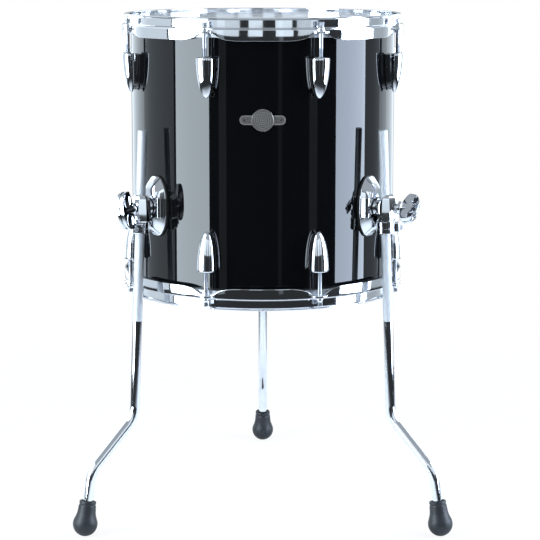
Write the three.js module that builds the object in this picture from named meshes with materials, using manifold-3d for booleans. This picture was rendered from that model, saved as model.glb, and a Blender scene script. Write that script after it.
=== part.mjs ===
// Floor tom: a 14 by 14 inch drum on three bent legs, standing on z = 0 with its playing head up.
// Millimetres, +Z up, front at -Y. Angles round the drum run from the front towards +X.
import * as THREE from "three";
import { mergeVertices } from "three/addons/utils/BufferGeometryUtils.js";
import Module from "manifold-3d";

const wasm = await Module();
wasm.setup();

// Running gap between neighbouring pieces, and how far a cutter runs past what it cuts
const GAP = 0.3;
const OVERRUN = 5;
const MERGE_DISTANCE = 0.0005;
const CURVE_STEPS = 6;

// Shell: a bent ply tube with a bearing edge at each end
const SHELL_DIAMETER = 355.6;
const SHELL_DEPTH = 355.6;
const SHELL_WALL = 7.2;
const SHELL_FLOOR_HEIGHT = 307.2;
const EDGE_ROUND = 1.5;
const EDGE_LAND = 1.6;
const RING_SIDES = 48;

// Heads: a clear film over the bearing edge, held by a metal flesh hoop
const FILM_THICKNESS = 0.4;
const FILM_SHOULDER = 1.2;
const FLESH_HOOP_WIDTH = 7.4;
const FLESH_HOOP_HEIGHT = 7.6;

// Triple flanged steel hoops: rolled rim, wall, ledge over the flesh hoop, and scalloped skirt
const HOOP_STEEL = 2.3;
const HOOP_SIDE_GAP = 1.5;
const HOOP_ABOVE_EDGE = 9.2;
const RIM_OVERHANG = 4.1;
const RIM_THICKNESS = 1.8;
const LEDGE_DEPTH = 13.5;
const LEDGE_FALL = 1.4;
const SKIRT_DEPTH = 15.3;
const SKIRT_STANDOFF = 11.6;
const EAR_REACH = 22.2;
const EAR_DROP = 3;
const EAR_THICKNESS = 3;

// Tension rods and their lugs, the same number at each head
const ROD_COUNT = 8;
const ROD_STANDOFF = 14;
const ROD_DIAMETER = 5.5;
const ROD_INTO_LUG = 30;
const ROD_SIDES = 8;
const WASHER_DIAMETER = 10;
const WASHER_THICKNESS = 1.6;
const COLLAR_DIAMETER = 8.4;
const COLLAR_HEIGHT = 4.2;
const KEY_SQUARE = 5.6;
const KEY_HEIGHT = 5.2;

// Bullet lugs: rounded casting on a narrower foot, fixed by two screws from inside the shell
const LUG_BELOW_EDGE = 40.8;
const LUG_LENGTH = 51.8;
const LUG_WIDTH = 24;
const LUG_DEPTH = 16;
const LUG_TIP_SINK = 4.4;
const LUG_FOOT_WIDTH = 17;
const LUG_FOOT_LENGTH = 46;
const LUG_SCREW_SPACING = 26;
const LUG_SCREW_DIAMETER = 4;
const LUG_SCREW_FROM_END = 12;
const LUG_POINTS = 8;
const SCREW_HEAD_DIAMETER = 10;
const SCREW_HEAD_THICKNESS = 3;
const SCREW_SIDES = 6;

// Badge plate and vent grommet
const BADGE_BELOW_EDGE = 119.6;
const BADGE_WIDTH = 58.7;
const BADGE_DISC_DIAMETER = 29;
const BADGE_ARM_HEIGHT = 12;
const BADGE_THICKNESS = 1;
const BADGE_DISC_PROUD = 0.6;
const VENT_ANGLE = 135;
const VENT_BORE = 9;
const VENT_BARREL = 13;
const VENT_FLANGE = 24;
const VENT_FLANGE_THICKNESS = 1.8;

// Three leg brackets: domed base plate, round boss and clamp block
const LEG_ANGLES = [-51, 51, 180];
const LEG_NAMES = ["left", "right", "rear"];
const BRACKET_HEIGHT_ON_SHELL = 117.4;
const PLATE_HEIGHT = 78;
const PLATE_WIDTH = 44;
const PLATE_EDGE = 3.4;
const PLATE_DOME = 12;
const BRACKET_SCREW_SPACING = 46;
const BRACKET_SCREW_DIAMETER = 6;
const BOSS_DIAMETER = 26;
const BLOCK_WIDTH = 27;
const BLOCK_HEIGHT = 35;
const BLOCK_FACE_OUT = 17;
const BLOCK_TOP_BEVEL = 3;
const BLOCK_SIDES = 8;
const BLOCK_SHIFT_ACROSS = 4;
const BLOCK_SHIFT_OUT = 2.5;

// Wing screw and the shoe that it presses on the leg, turned about the leg to the side of the drum
const CLAMP_SIDE_ANGLE = 20;
const WING_TILT = 4;
const WING_ROLLS = [8, -56, 20];
const WING_AXIS_ABOVE_MIDDLE = 2;
const SHOE_DIAMETER = 10;
const SHOE_END = 12;
const WING_SCREW_DIAMETER = 8;
const SHOE_DRAW_BACK = 2;
const WING_HUB_DIAMETER = 14;
const WING_HUB_START = 19;
const WING_HUB_LENGTH = 9;
const WING_HUB_SIDES = 12;
const WING_SPAN = 49;
const WING_THICKNESS = 8;
const WING_EDGE_STEPS = 8;
const WING_TIP_START = 26.5;
const WING_TIP_END = 32;
const WING_CROWN_OUT = 45;
const WING_CROWN_CURVE_SHARE = 0.75;

// Memory lock under each block, with its own small key screw
const LOCK_HEIGHT = 15.8;
const LOCK_DIAMETER = 25;
const LOCK_EAR_REACH = 18;
const LOCK_EAR_WIDTH = 13;
const LOCK_SPLIT = 2;
const LOCK_KEY_ANGLE = 40;
const LOCK_KEY_DIAMETER = 6.4;
const LOCK_KEY_REACH = 22.4;
const LOCK_KEY_SHANK = 3.6;

// Legs: one steel rod with two bends, ending in a rubber foot
const LEG_DIAMETER = 12.7;
const LEG_STANDOFF = 27.2;
const LEG_LEAN = 2.7;
const LEG_MIDDLE_LEAN = 47.9;
const LEG_FOOT_LEAN = 9.5;
const LEG_ABOVE_BLOCK = 83.6;
const UPPER_BEND_HEIGHT = 146.8;
const LOWER_BEND_HEIGHT = 84;
const BEND_RADIUS = 36;
const LEG_END_HEIGHT = 12;
const LEG_SIDES = 12;
const BEND_STEPS = 4;

// Rubber feet
const FOOT_DIAMETER = 32.4;
const FOOT_HEIGHT = 46;
const FOOT_NECK_DIAMETER = 22;
const FOOT_NOTCH_DEPTH = 1.6;
const FOOT_NOTCH_HEIGHT = 4;
const FOOT_FLAT_DEPTH = 0.8;
const FOOT_SIDES = 16;
const FOOT_BALL_TURN_SHARES = [0.12, 0.24, 0.36, 0.48, 0.6];
const FOOT_WAIST_RADIUS_SHARE = 1.08;
const FOOT_WAIST_HEIGHT_SHARE = 0.45;

// Places that follow from the sizes above
const shellRadius = SHELL_DIAMETER / 2;
const boreRadius = shellRadius - SHELL_WALL;
const shellTop = SHELL_FLOOR_HEIGHT + SHELL_DEPTH;
const shellMiddle = SHELL_FLOOR_HEIGHT + SHELL_DEPTH / 2;
const rodRadius = ROD_DIAMETER / 2;
const rodCircle = shellRadius + ROD_STANDOFF;
const legRadius = LEG_DIAMETER / 2;
const bracketZ = SHELL_FLOOR_HEIGHT + BRACKET_HEIGHT_ON_SHELL;
const blockTop = bracketZ + BLOCK_HEIGHT / 2;
const blockBottom = bracketZ - BLOCK_HEIGHT / 2;
const legCircle = shellRadius + LEG_STANDOFF;
const hoopInner = shellRadius + GAP + FILM_THICKNESS + HOOP_SIDE_GAP;

const lacquer = new THREE.MeshStandardMaterial({ color: "#0b0b0d", roughness: 0.06, metalness: 0 });
const chrome = new THREE.MeshStandardMaterial({ color: "#e4e6e9", roughness: 0.08, metalness: 1 });
const satinSteel = new THREE.MeshStandardMaterial({ color: "#c3c6cb", roughness: 0.3, metalness: 1 });
const nickel = new THREE.MeshStandardMaterial({ color: "#9b9a97", roughness: 0.35, metalness: 1 });
const film = new THREE.MeshStandardMaterial({ color: "#e9eaea", roughness: 0.15, metalness: 0 });
const rubber = new THREE.MeshStandardMaterial({ color: "#25272a", roughness: 0.7, metalness: 0 });

// A closed geometry as a solid with its faces turned outwards
function solid(geometry) {
  const bare = geometry.index ? geometry.toNonIndexed() : geometry.clone();
  bare.deleteAttribute("normal");
  bare.deleteAttribute("uv");
  const merged = mergeVertices(bare, MERGE_DISTANCE);
  const places = merged.attributes.position.array;
  const corner = (k) => new THREE.Vector3().fromArray(places, 3 * k);
  const faces = [];
  let volume = 0;
  for (let i = 0; i < merged.index.count; i += 3) {
    const [a, b, c] = merged.index.array.slice(i, i + 3);
    if (a === b || b === c || c === a) continue;
    faces.push([a, b, c]);
    volume += corner(a).dot(corner(b).cross(corner(c)));
  }
  const turned = volume < 0 ? faces.map(([a, b, c]) => [a, c, b]) : faces;
  const triVerts = new Uint32Array(turned.flat());
  return new wasm.Manifold(new wasm.Mesh({ numProp: 3, vertProperties: places, triVerts }));
}

function union(...solids) {
  return solids.reduce((whole, next) => whole.add(next));
}

// A named sub-part in the group that places it
function addPart(group, name, body, material) {
  const mesh = body.getMesh();
  const geometry = new THREE.BufferGeometry();
  geometry.setAttribute("position", new THREE.BufferAttribute(mesh.vertProperties, 3));
  geometry.setIndex(new THREE.BufferAttribute(mesh.triVerts, 1));
  geometry.computeVertexNormals();
  const part = new THREE.Mesh(geometry, material);
  part.name = name;
  group.add(part);
}

// Turned body about the vertical axis, from [radius, height] points
function turned(profile, sides) {
  const points = profile.map(([radius, height]) => new THREE.Vector2(radius, height));
  return solid(new THREE.LatheGeometry(points, sides).rotateX(Math.PI / 2));
}

// Closed ring about the vertical axis
function turnedRing(profile, sides) {
  return turned([...profile, profile[0]], sides);
}

// Round bar between two points, and the same with its flats outside the given radius
function bar(from, to, radius, sides) {
  const length = from.distanceTo(to);
  const geometry = new THREE.CylinderGeometry(radius, radius, length, sides);
  const along = to.clone().sub(from).normalize();
  geometry.applyQuaternion(new THREE.Quaternion().setFromUnitVectors(new THREE.Vector3(0, 1, 0), along));
  const middle = from.clone().lerp(to, 1 / 2);
  return solid(geometry.translate(middle.x, middle.y, middle.z));
}

function boreFor(from, to, radius, sides) {
  return bar(from, to, (radius + GAP) / Math.cos(Math.PI / sides), sides);
}

// Skin over rings of points, closed by flat ends, or onto itself
function loft(rings, closesOnItself = false) {
  const count = rings[0].length;
  const faces = [];
  const steps = closesOnItself ? rings.length : rings.length - 1;
  for (let i = 0; i < steps; i++) {
    const low = i * count;
    const high = ((i + 1) % rings.length) * count;
    for (let j = 0; j < count; j++) {
      const next = (j + 1) % count;
      faces.push(low + j, low + next, high + next, low + j, high + next, high + j);
    }
  }
  if (!closesOnItself) {
    const last = (rings.length - 1) * count;
    for (let j = 1; j < count - 1; j++) {
      faces.push(0, j + 1, j, last, last + j, last + j + 1);
    }
  }
  const geometry = new THREE.BufferGeometry().setFromPoints(rings.flat());
  geometry.setIndex(faces);
  return solid(geometry);
}

// Flat outline in x and z, thickened outwards (towards -Y) from one distance to another
function slab(shape, from, to) {
  const geometry = new THREE.ExtrudeGeometry(shape, { depth: to - from, bevelEnabled: false, curveSegments: CURVE_STEPS });
  return solid(geometry.rotateX(Math.PI / 2).translate(0, -from, 0));
}

const at = (x, outward, z) => new THREE.Vector3(x, -outward, z);

// A group that carries what is fixed at one angle round the drum
function station(angle) {
  const group = new THREE.Group();
  group.rotation.z = THREE.MathUtils.degToRad(angle);
  drum.add(group);
  return group;
}

// Round core the size of the shell, used to seat pieces on its curve
function shellCore(radius) {
  const low = SHELL_FLOOR_HEIGHT - OVERRUN;
  const high = shellTop + OVERRUN;
  return turned([[0, low], [radius, low], [radius, high], [0, high]], RING_SIDES);
}

const outsideCore = shellCore(shellRadius + GAP);
const insideCore = shellCore(boreRadius - GAP);

const drum = new THREE.Group();
const rodAngles = Array.from({ length: ROD_COUNT }, (_, k) => ((k + 1 / 2) * 360) / ROD_COUNT);

// Turns a solid made at the front to an angle round the drum
function turnedTo(angle, body) {
  return body.rotate([0, 0, angle]);
}

// A screw driven from inside the shell: shank through the wall and head against the bore
function shellScrew(z, diameter, reach) {
  const shank = bar(at(0, boreRadius - GAP - SCREW_HEAD_THICKNESS, z), at(0, reach, z), diameter / 2, SCREW_SIDES);
  const head = bar(
    at(0, boreRadius - GAP - SCREW_HEAD_THICKNESS, z),
    at(0, shellRadius, z),
    SCREW_HEAD_DIAMETER / 2,
    SCREW_SIDES,
  ).intersect(insideCore);
  return shank.add(head);
}

function shellHole(z, diameter, sides = SCREW_SIDES) {
  return boreFor(at(0, boreRadius - OVERRUN, z), at(0, shellRadius + OVERRUN, z), diameter / 2, sides);
}

// Heights of a lug's two screws, for a lug whose open end is at endZ
function lugScrewHeights(endZ, side) {
  const first = endZ - side * LUG_SCREW_FROM_END;
  return [first, first - side * LUG_SCREW_SPACING];
}

const batterLugEnd = shellTop - LUG_BELOW_EDGE;
const resonantLugEnd = SHELL_FLOOR_HEIGHT + LUG_BELOW_EDGE;
const bracketScrewHeights = [-1, 1].map((side) => bracketZ + (side * BRACKET_SCREW_SPACING) / 2);

function makeShell() {
  const land = shellRadius - EDGE_ROUND - EDGE_LAND;
  const slope = land - boreRadius;
  let body = turnedRing(
    [
      [shellRadius, SHELL_FLOOR_HEIGHT + EDGE_ROUND],
      [shellRadius, shellTop - EDGE_ROUND],
      [shellRadius - EDGE_ROUND, shellTop],
      [land, shellTop],
      [boreRadius, shellTop - slope],
      [boreRadius, SHELL_FLOOR_HEIGHT + slope],
      [land, SHELL_FLOOR_HEIGHT],
      [shellRadius - EDGE_ROUND, SHELL_FLOOR_HEIGHT],
    ],
    RING_SIDES,
  );
  const lugHoles = [
    ...lugScrewHeights(batterLugEnd, 1),
    ...lugScrewHeights(resonantLugEnd, -1),
  ].map((z) => shellHole(z, LUG_SCREW_DIAMETER));
  const bracketHoles = bracketScrewHeights.map((z) => shellHole(z, BRACKET_SCREW_DIAMETER));
  for (const angle of rodAngles) {
    for (const hole of lugHoles) body = body.subtract(turnedTo(angle, hole));
  }
  for (const angle of LEG_ANGLES) {
    for (const hole of bracketHoles) body = body.subtract(turnedTo(angle, hole));
  }
  return body.subtract(turnedTo(VENT_ANGLE, shellHole(shellMiddle, VENT_BARREL, 2 * ROD_SIDES)));
}

// Playing head, made for the top; the bottom head is the same piece turned over
function makeHead() {
  const filmBottom = shellTop + GAP;
  const collarInner = shellRadius + GAP;
  const collarOuter = collarInner + FILM_THICKNESS;
  const filmTop = filmBottom + FILM_THICKNESS;
  const fleshTop = shellTop + HOOP_ABOVE_EDGE - LEDGE_DEPTH - LEDGE_FALL - HOOP_STEEL - GAP;
  const fleshBottom = fleshTop - FLESH_HOOP_HEIGHT;
  return turned(
    [
      [0, filmTop],
      [collarOuter - FILM_SHOULDER, filmTop],
      [collarOuter, filmTop - FILM_SHOULDER],
      [collarOuter, fleshTop],
      [collarInner + FLESH_HOOP_WIDTH, fleshTop],
      [collarInner + FLESH_HOOP_WIDTH, fleshBottom],
      [collarInner, fleshBottom],
      [collarInner, filmBottom - FILM_SHOULDER],
      [collarInner - FILM_SHOULDER, filmBottom],
      [0, filmBottom],
    ],
    RING_SIDES,
  );
}

// Section of the top hoop at an angle from its nearest ear: share 1 on the ear, 0 on the full skirt
function hoopSection(earShare, liftShare) {
  const rimTop = shellTop + HOOP_ABOVE_EDGE;
  const wallOuter = hoopInner + HOOP_STEEL;
  const ledgeTop = rimTop - LEDGE_DEPTH;
  const skirtOuter = shellRadius + SKIRT_STANDOFF;
  const earTop = ledgeTop - EAR_DROP;
  const earBottom = earTop - EAR_THICKNESS;
  const skirtBottom = ledgeTop - SKIRT_DEPTH;
  const blend = THREE.MathUtils.lerp;
  const outer = blend(skirtOuter, shellRadius + EAR_REACH, earShare);
  const seatStart = rodCircle - WASHER_DIAMETER / 2 - GAP;
  return [
    [outer, blend(skirtBottom, earBottom, liftShare)],
    [outer, blend(ledgeTop - LEDGE_FALL, earTop, earShare)],
    [seatStart, blend(ledgeTop - LEDGE_FALL / 2, earTop, earShare)],
    [wallOuter, ledgeTop],
    [wallOuter, rimTop - RIM_THICKNESS],
    [wallOuter + RIM_OVERHANG, rimTop - RIM_THICKNESS],
    [wallOuter + RIM_OVERHANG, rimTop],
    [hoopInner, rimTop],
    [hoopInner, ledgeTop - LEDGE_FALL - HOOP_STEEL],
    [skirtOuter - HOOP_STEEL, ledgeTop - LEDGE_FALL - HOOP_STEEL],
    [skirtOuter - HOOP_STEEL, blend(skirtBottom, earBottom, liftShare)],
  ];
}

// Angles either side of an ear, with how much of the ear and of the lifted edge they carry
const EAR_STEPS = [
  { angleShare: 0.055, ear: 1, lift: 1 },
  { angleShare: 0.075, ear: 0.45, lift: 1 },
  { angleShare: 0.105, ear: 0, lift: 0.86 },
  { angleShare: 0.15, ear: 0, lift: 0.2 },
  { angleShare: 0.2, ear: 0, lift: 0 },
  { angleShare: 0.35, ear: 0, lift: 0 },
];

function makeHoop() {
  const pitch = 360 / ROD_COUNT;
  const rings = [];
  for (const middle of rodAngles) {
    const before = EAR_STEPS.map((step) => [middle - step.angleShare * pitch, step]).reverse();
    const after = EAR_STEPS.map((step) => [middle + step.angleShare * pitch, step]);
    const between = [middle + pitch / 2, EAR_STEPS[EAR_STEPS.length - 1]];
    for (const [angle, step] of [...before, ...after, between]) {
      const turn = THREE.MathUtils.degToRad(angle);
      rings.push(
        hoopSection(step.ear, step.lift).map(
          ([radius, z]) => new THREE.Vector3(radius * Math.sin(turn), -radius * Math.cos(turn), z),
        ),
      );
    }
  }
  const hole = boreFor(
    at(0, rodCircle, shellTop - SKIRT_DEPTH),
    at(0, rodCircle, shellTop + HOOP_ABOVE_EDGE),
    rodRadius,
    ROD_SIDES,
  );
  return rodAngles.reduce((body, angle) => body.subtract(turnedTo(angle, hole)), loft(rings, true));
}

const earSeat = shellTop + HOOP_ABOVE_EDGE - LEDGE_DEPTH - EAR_DROP + GAP;

// Tension rod with its washer, standing on a hoop ear and running into the lug
function makeRod() {
  const tip = batterLugEnd - ROD_INTO_LUG;
  const washerTop = earSeat + WASHER_THICKNESS;
  const collarTop = washerTop + COLLAR_HEIGHT;
  const shank = turned(
    [
      [0, tip],
      [rodRadius, tip],
      [rodRadius, earSeat],
      [WASHER_DIAMETER / 2, earSeat],
      [WASHER_DIAMETER / 2, washerTop],
      [COLLAR_DIAMETER / 2, washerTop],
      [KEY_SQUARE / 2, collarTop],
      [0, collarTop],
    ],
    ROD_SIDES,
  );
  const keyHeight = KEY_HEIGHT + COLLAR_HEIGHT / 2;
  const key = new THREE.BoxGeometry(KEY_SQUARE, KEY_SQUARE, keyHeight);
  key.translate(0, 0, collarTop + KEY_HEIGHT - keyHeight / 2);
  return shank.add(solid(key)).translate([0, -rodCircle, 0]);
}

// Bullet outline: rings along the casting, how full its nose is, and how square its section
const LUG_RING_SHARES = [0, 0.05, 0.4, 0.7, 0.9, 0.985];
const LUG_END_ROUND_SHARE = 0.93;
const LUG_NOSE_POWER = 2.3;
const LUG_NOSE_FULLNESS = 0.55;
const LUG_SECTION_POWER = 0.8;
const LUG_FOOT_STEPS = 4;
const LUG_FOOT_TIP_SHARE = 0.999;
const LUG_FOOT_START_SHARE = 0.04;

// Half-width of the lug's outline as a share of the full width, from open end to tip
function bulletShare(along) {
  return (1 - along ** LUG_NOSE_POWER) ** LUG_NOSE_FULLNESS;
}

function makeLug() {
  const halfWidth = LUG_WIDTH / 2;
  const halfDepth = LUG_DEPTH / 2;
  const rings = LUG_RING_SHARES.map((along, k) => {
    const share = k === 0 ? LUG_END_ROUND_SHARE : bulletShare(along);
    const centre = shellRadius + ROD_STANDOFF - LUG_TIP_SINK * along ** 2;
    return Array.from({ length: LUG_POINTS }, (_, j) => {
      const turn = (2 * Math.PI * (j + 1 / 2)) / LUG_POINTS;
      const square = (value) => Math.sign(value) * Math.abs(value) ** LUG_SECTION_POWER;
      const x = halfWidth * share * square(Math.cos(turn));
      const out = centre + halfDepth * share * square(Math.sin(turn));
      return at(x, out, batterLugEnd - along * LUG_LENGTH);
    });
  });
  const foot = new THREE.Shape();
  const footStart = batterLugEnd - LUG_FOOT_START_SHARE * LUG_LENGTH;
  const footSide = Array.from({ length: LUG_FOOT_STEPS + 1 }, (_, k) => {
    const along = (k / LUG_FOOT_STEPS) * LUG_FOOT_TIP_SHARE;
    return [(LUG_FOOT_WIDTH / 2) * bulletShare(along), footStart - along * LUG_FOOT_LENGTH];
  });
  foot.moveTo(...footSide[0]);
  for (const [x, z] of footSide.slice(1)) foot.lineTo(x, z);
  for (const [x, z] of footSide.reverse()) foot.lineTo(-x, z);
  const casting = loft(rings).add(slab(foot, boreRadius, shellRadius + ROD_STANDOFF - LUG_TIP_SINK / 2));
  const bore = boreFor(
    at(0, rodCircle, batterLugEnd - ROD_INTO_LUG - GAP),
    at(0, rodCircle, batterLugEnd + OVERRUN),
    rodRadius,
    ROD_SIDES,
  );
  const seated = casting.subtract(outsideCore).subtract(bore);
  const screws = lugScrewHeights(batterLugEnd, 1).map((z) =>
    shellScrew(z, LUG_SCREW_DIAMETER, shellRadius + ROD_STANDOFF - LUG_DEPTH / 2),
  );
  return union(seated, ...screws);
}

function makeBadge() {
  const z = shellTop - BADGE_BELOW_EDGE;
  const armRound = BADGE_ARM_HEIGHT / 2;
  const armReach = BADGE_WIDTH / 2 - armRound;
  const arms = new THREE.Shape();
  arms.moveTo(-armReach, z - armRound);
  arms.lineTo(armReach, z - armRound);
  arms.absarc(armReach, z, armRound, -Math.PI / 2, Math.PI / 2, false);
  arms.lineTo(-armReach, z + armRound);
  arms.absarc(-armReach, z, armRound, Math.PI / 2, (3 * Math.PI) / 2, false);
  const disc = new THREE.Shape();
  disc.absarc(0, z, BADGE_DISC_DIAMETER / 2, 0, 2 * Math.PI, false);
  const reach = shellRadius + OVERRUN;
  const low = slab(arms, boreRadius, reach).intersect(shellCore(shellRadius + GAP + BADGE_THICKNESS));
  const high = slab(disc, boreRadius, reach).intersect(
    shellCore(shellRadius + GAP + BADGE_THICKNESS + BADGE_DISC_PROUD),
  );
  return low.add(high).subtract(outsideCore);
}

function makeVent() {
  const z = shellMiddle;
  const outer = shellRadius + VENT_FLANGE_THICKNESS;
  const inner = boreRadius - VENT_FLANGE_THICKNESS;
  const sides = 2 * ROD_SIDES;
  const outerFlange = bar(at(0, boreRadius, z), at(0, outer, z), VENT_FLANGE / 2, sides).subtract(outsideCore);
  const innerFlange = bar(at(0, inner, z), at(0, shellRadius, z), VENT_FLANGE / 2, sides).intersect(insideCore);
  const barrel = bar(at(0, inner, z), at(0, outer, z), VENT_BARREL / 2, sides);
  const bore = bar(at(0, inner - OVERRUN, z), at(0, outer + OVERRUN, z), VENT_BORE / 2, sides);
  return union(outerFlange, innerFlange, barrel).subtract(bore);
}

// Leaning axis of a leg's straight upper stretch, in the plane of its bracket
const lean = THREE.MathUtils.degToRad(LEG_LEAN);
const legAt = (z) => at(0, legCircle + (bracketZ - z) * Math.tan(lean), z);

// Points on the wing screw's axis, by distance out from the leg's axis, before its turn to the side
const tilt = THREE.MathUtils.degToRad(WING_TILT);
const wingRoot = legAt(bracketZ + WING_AXIS_ABOVE_MIDDLE);
const wingOut = at(0, Math.cos(tilt), -Math.sin(tilt));
const wingAt = (distance) => wingRoot.clone().addScaledVector(wingOut, distance);

// Base plate outline, as shares of half the width and half the height, and the levels of its dome
const PLATE_OUTLINE_SHARES = [
  [0.42, 1],
  [0.86, 0.66],
  [1, 0.3],
  [1, -0.3],
  [0.86, -0.66],
  [0.42, -1],
];
const PLATE_LEVEL_SHARES = [
  { size: 1, rise: 0 },
  { size: 0.72, rise: 0.62 },
  { size: 0.46, rise: 1 },
];

function makeBracket() {
  const outline = [...PLATE_OUTLINE_SHARES, ...PLATE_OUTLINE_SHARES.map(([x, z]) => [-x, z]).reverse()];
  const ring = (share, outward) =>
    outline.map(([x, z]) =>
      at((x * share * PLATE_WIDTH) / 2, outward, bracketZ + (z * share * PLATE_HEIGHT) / 2),
    );
  const edge = shellRadius + PLATE_EDGE;
  const levels = PLATE_LEVEL_SHARES.map(({ size, rise }) => ring(size, edge + rise * PLATE_DOME));
  const plate = loft([ring(1, boreRadius), ...levels]).subtract(outsideCore);
  const boss = bar(
    at(0, shellRadius + PLATE_EDGE, bracketZ),
    at(0, legCircle, bracketZ),
    BOSS_DIAMETER / 2,
    2 * ROD_SIDES,
  );
  const corner = BLOCK_WIDTH / 2 / Math.cos(Math.PI / BLOCK_SIDES);
  const blockRing = (z, radius) =>
    Array.from({ length: BLOCK_SIDES }, (_, k) => {
      const turn = (Math.PI * (2 * k + 1)) / BLOCK_SIDES;
      const out = radius * Math.sin(turn);
      return at(radius * Math.cos(turn), out - legAt(z).y, z + out * Math.tan(lean));
    });
  const prism = loft([
    blockRing(blockBottom, corner),
    blockRing(blockTop - BLOCK_TOP_BEVEL, corner),
    blockRing(blockTop, corner - BLOCK_TOP_BEVEL),
  ]);
  const block = aboutLeg(prism, CLAMP_SIDE_ANGLE).translate([BLOCK_SHIFT_ACROSS, -BLOCK_SHIFT_OUT, 0]);
  const beyondFace = bar(wingAt(BLOCK_FACE_OUT), wingAt(BLOCK_FACE_OUT + BLOCK_HEIGHT), BLOCK_HEIGHT, ROD_SIDES);
  const legBore = boreFor(legAt(blockBottom - OVERRUN), legAt(blockTop + OVERRUN), legRadius, 2 * ROD_SIDES);
  const shoeBore = boreFor(wingAt(0), wingAt(SHOE_END + SHOE_DRAW_BACK), SHOE_DIAMETER / 2, ROD_SIDES);
  const screwBore = boreFor(wingAt(0), wingAt(BLOCK_HEIGHT), WING_SCREW_DIAMETER / 2, ROD_SIDES);
  const casting = union(plate, boss, block.subtract(aboutLeg(beyondFace, CLAMP_SIDE_ANGLE)));
  const clampBores = aboutLeg(union(shoeBore, screwBore), CLAMP_SIDE_ANGLE);
  const bored = casting.subtract(union(legBore, clampBores));
  const screws = bracketScrewHeights.map((z) => shellScrew(z, BRACKET_SCREW_DIAMETER, edge + PLATE_DOME / 4));
  return union(bored, ...screws);
}

function makeShoe() {
  const plug = bar(wingAt(0), wingAt(SHOE_END), SHOE_DIAMETER / 2, ROD_SIDES);
  const legRoom = boreFor(legAt(blockBottom), legAt(blockTop), legRadius, 2 * ROD_SIDES);
  return aboutLeg(plug.subtract(legRoom), CLAMP_SIDE_ANGLE);
}

// Wing screw, made along +Z from its threaded end and then laid on its axis
function makeWing(roll) {
  const shankStart = SHOE_END + GAP;
  const shank = turned(
    [
      [0, shankStart],
      [WING_SCREW_DIAMETER / 2, shankStart],
      [WING_SCREW_DIAMETER / 2, WING_HUB_START],
      [WING_HUB_DIAMETER / 2, WING_HUB_START],
      [WING_HUB_DIAMETER / 2, WING_HUB_START + WING_HUB_LENGTH],
      [0, WING_HUB_START + WING_HUB_LENGTH],
    ],
    WING_HUB_SIDES,
  );
  const half = WING_SPAN / 2;
  const hub = WING_HUB_DIAMETER / 2;
  const hubEnd = WING_HUB_START + WING_HUB_LENGTH / 3;
  const curveOut = WING_TIP_END + (WING_CROWN_OUT - WING_TIP_END) / WING_CROWN_CURVE_SHARE;
  const blade = new THREE.Shape();
  blade.moveTo(-hub / 2, hubEnd);
  blade.lineTo(-half, WING_TIP_START);
  blade.lineTo(-half, WING_TIP_END);
  blade.bezierCurveTo(-half, curveOut, half, curveOut, half, WING_TIP_END);
  blade.lineTo(half, WING_TIP_START);
  blade.lineTo(hub / 2, hubEnd);
  const plate = new THREE.ExtrudeGeometry(blade, {
    depth: WING_THICKNESS,
    bevelEnabled: false,
    curveSegments: WING_EDGE_STEPS,
  });
  plate.translate(0, 0, -WING_THICKNESS / 2);
  plate.rotateX(Math.PI / 2);
  const turn = new THREE.Matrix4().makeRotationZ(THREE.MathUtils.degToRad(90 + roll));
  const lay = new THREE.Matrix4().makeRotationFromQuaternion(
    new THREE.Quaternion().setFromUnitVectors(new THREE.Vector3(0, 0, 1), wingOut),
  );
  const laid = lay.multiply(turn).setPosition(wingRoot);
  return aboutLeg(shank.add(solid(plate)).transform(laid.elements), CLAMP_SIDE_ANGLE);
}

const lockTop = blockBottom - GAP;
const lockBottom = lockTop - LOCK_HEIGHT;
const lockMiddle = (lockTop + lockBottom) / 2;

// Clamp and lock pieces are made pointing straight outwards and turned about the leg's axis
function aboutLeg(body, angle) {
  const axis = legAt(lockMiddle - LOCK_HEIGHT).sub(legAt(lockMiddle)).normalize();
  const here = legAt(lockMiddle);
  const turn = new THREE.Matrix4().makeRotationAxis(axis, -THREE.MathUtils.degToRad(angle));
  const move = new THREE.Matrix4()
    .makeTranslation(here.x, here.y, here.z)
    .multiply(turn)
    .multiply(new THREE.Matrix4().makeTranslation(-here.x, -here.y, -here.z));
  return body.transform(move.elements);
}

// A point by its distance out from the leg's axis, at the lock's middle
const lockAt = (across, outward) => {
  const here = legAt(lockMiddle);
  return at(across, outward - here.y, here.z);
};

function makeLock() {
  const round = LOCK_DIAMETER / 2;
  const collar = bar(legAt(lockBottom), legAt(lockTop), round, 2 * ROD_SIDES);
  const ear = new THREE.BoxGeometry(LOCK_EAR_WIDTH, LOCK_EAR_REACH, LOCK_HEIGHT - LOCK_SPLIT);
  const earMiddle = lockAt(0, LOCK_EAR_REACH / 2);
  ear.translate(earMiddle.x, earMiddle.y, earMiddle.z);
  const split = new THREE.BoxGeometry(LOCK_SPLIT, LOCK_DIAMETER, 2 * LOCK_HEIGHT);
  const splitMiddle = lockAt(0, -LOCK_DIAMETER / 2);
  split.translate(splitMiddle.x, splitMiddle.y, splitMiddle.z);
  const bore = boreFor(legAt(lockBottom - OVERRUN), legAt(lockTop + OVERRUN), legRadius, 2 * ROD_SIDES);
  const keyHole = boreFor(lockAt(0, 0), lockAt(0, LOCK_EAR_REACH + OVERRUN), LOCK_KEY_SHANK / 2, ROD_SIDES);
  return aboutLeg(union(collar, solid(ear)).subtract(union(bore, keyHole, solid(split))), LOCK_KEY_ANGLE);
}

function makeLockKey() {
  const start = legRadius + 2 * GAP;
  const shank = bar(lockAt(0, start), lockAt(0, LOCK_KEY_REACH), LOCK_KEY_SHANK / 2, ROD_SIDES);
  const head = bar(lockAt(0, LOCK_EAR_REACH + GAP), lockAt(0, LOCK_KEY_REACH), LOCK_KEY_DIAMETER / 2, ROD_SIDES);
  return aboutLeg(shank.add(head), LOCK_KEY_ANGLE);
}

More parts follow.
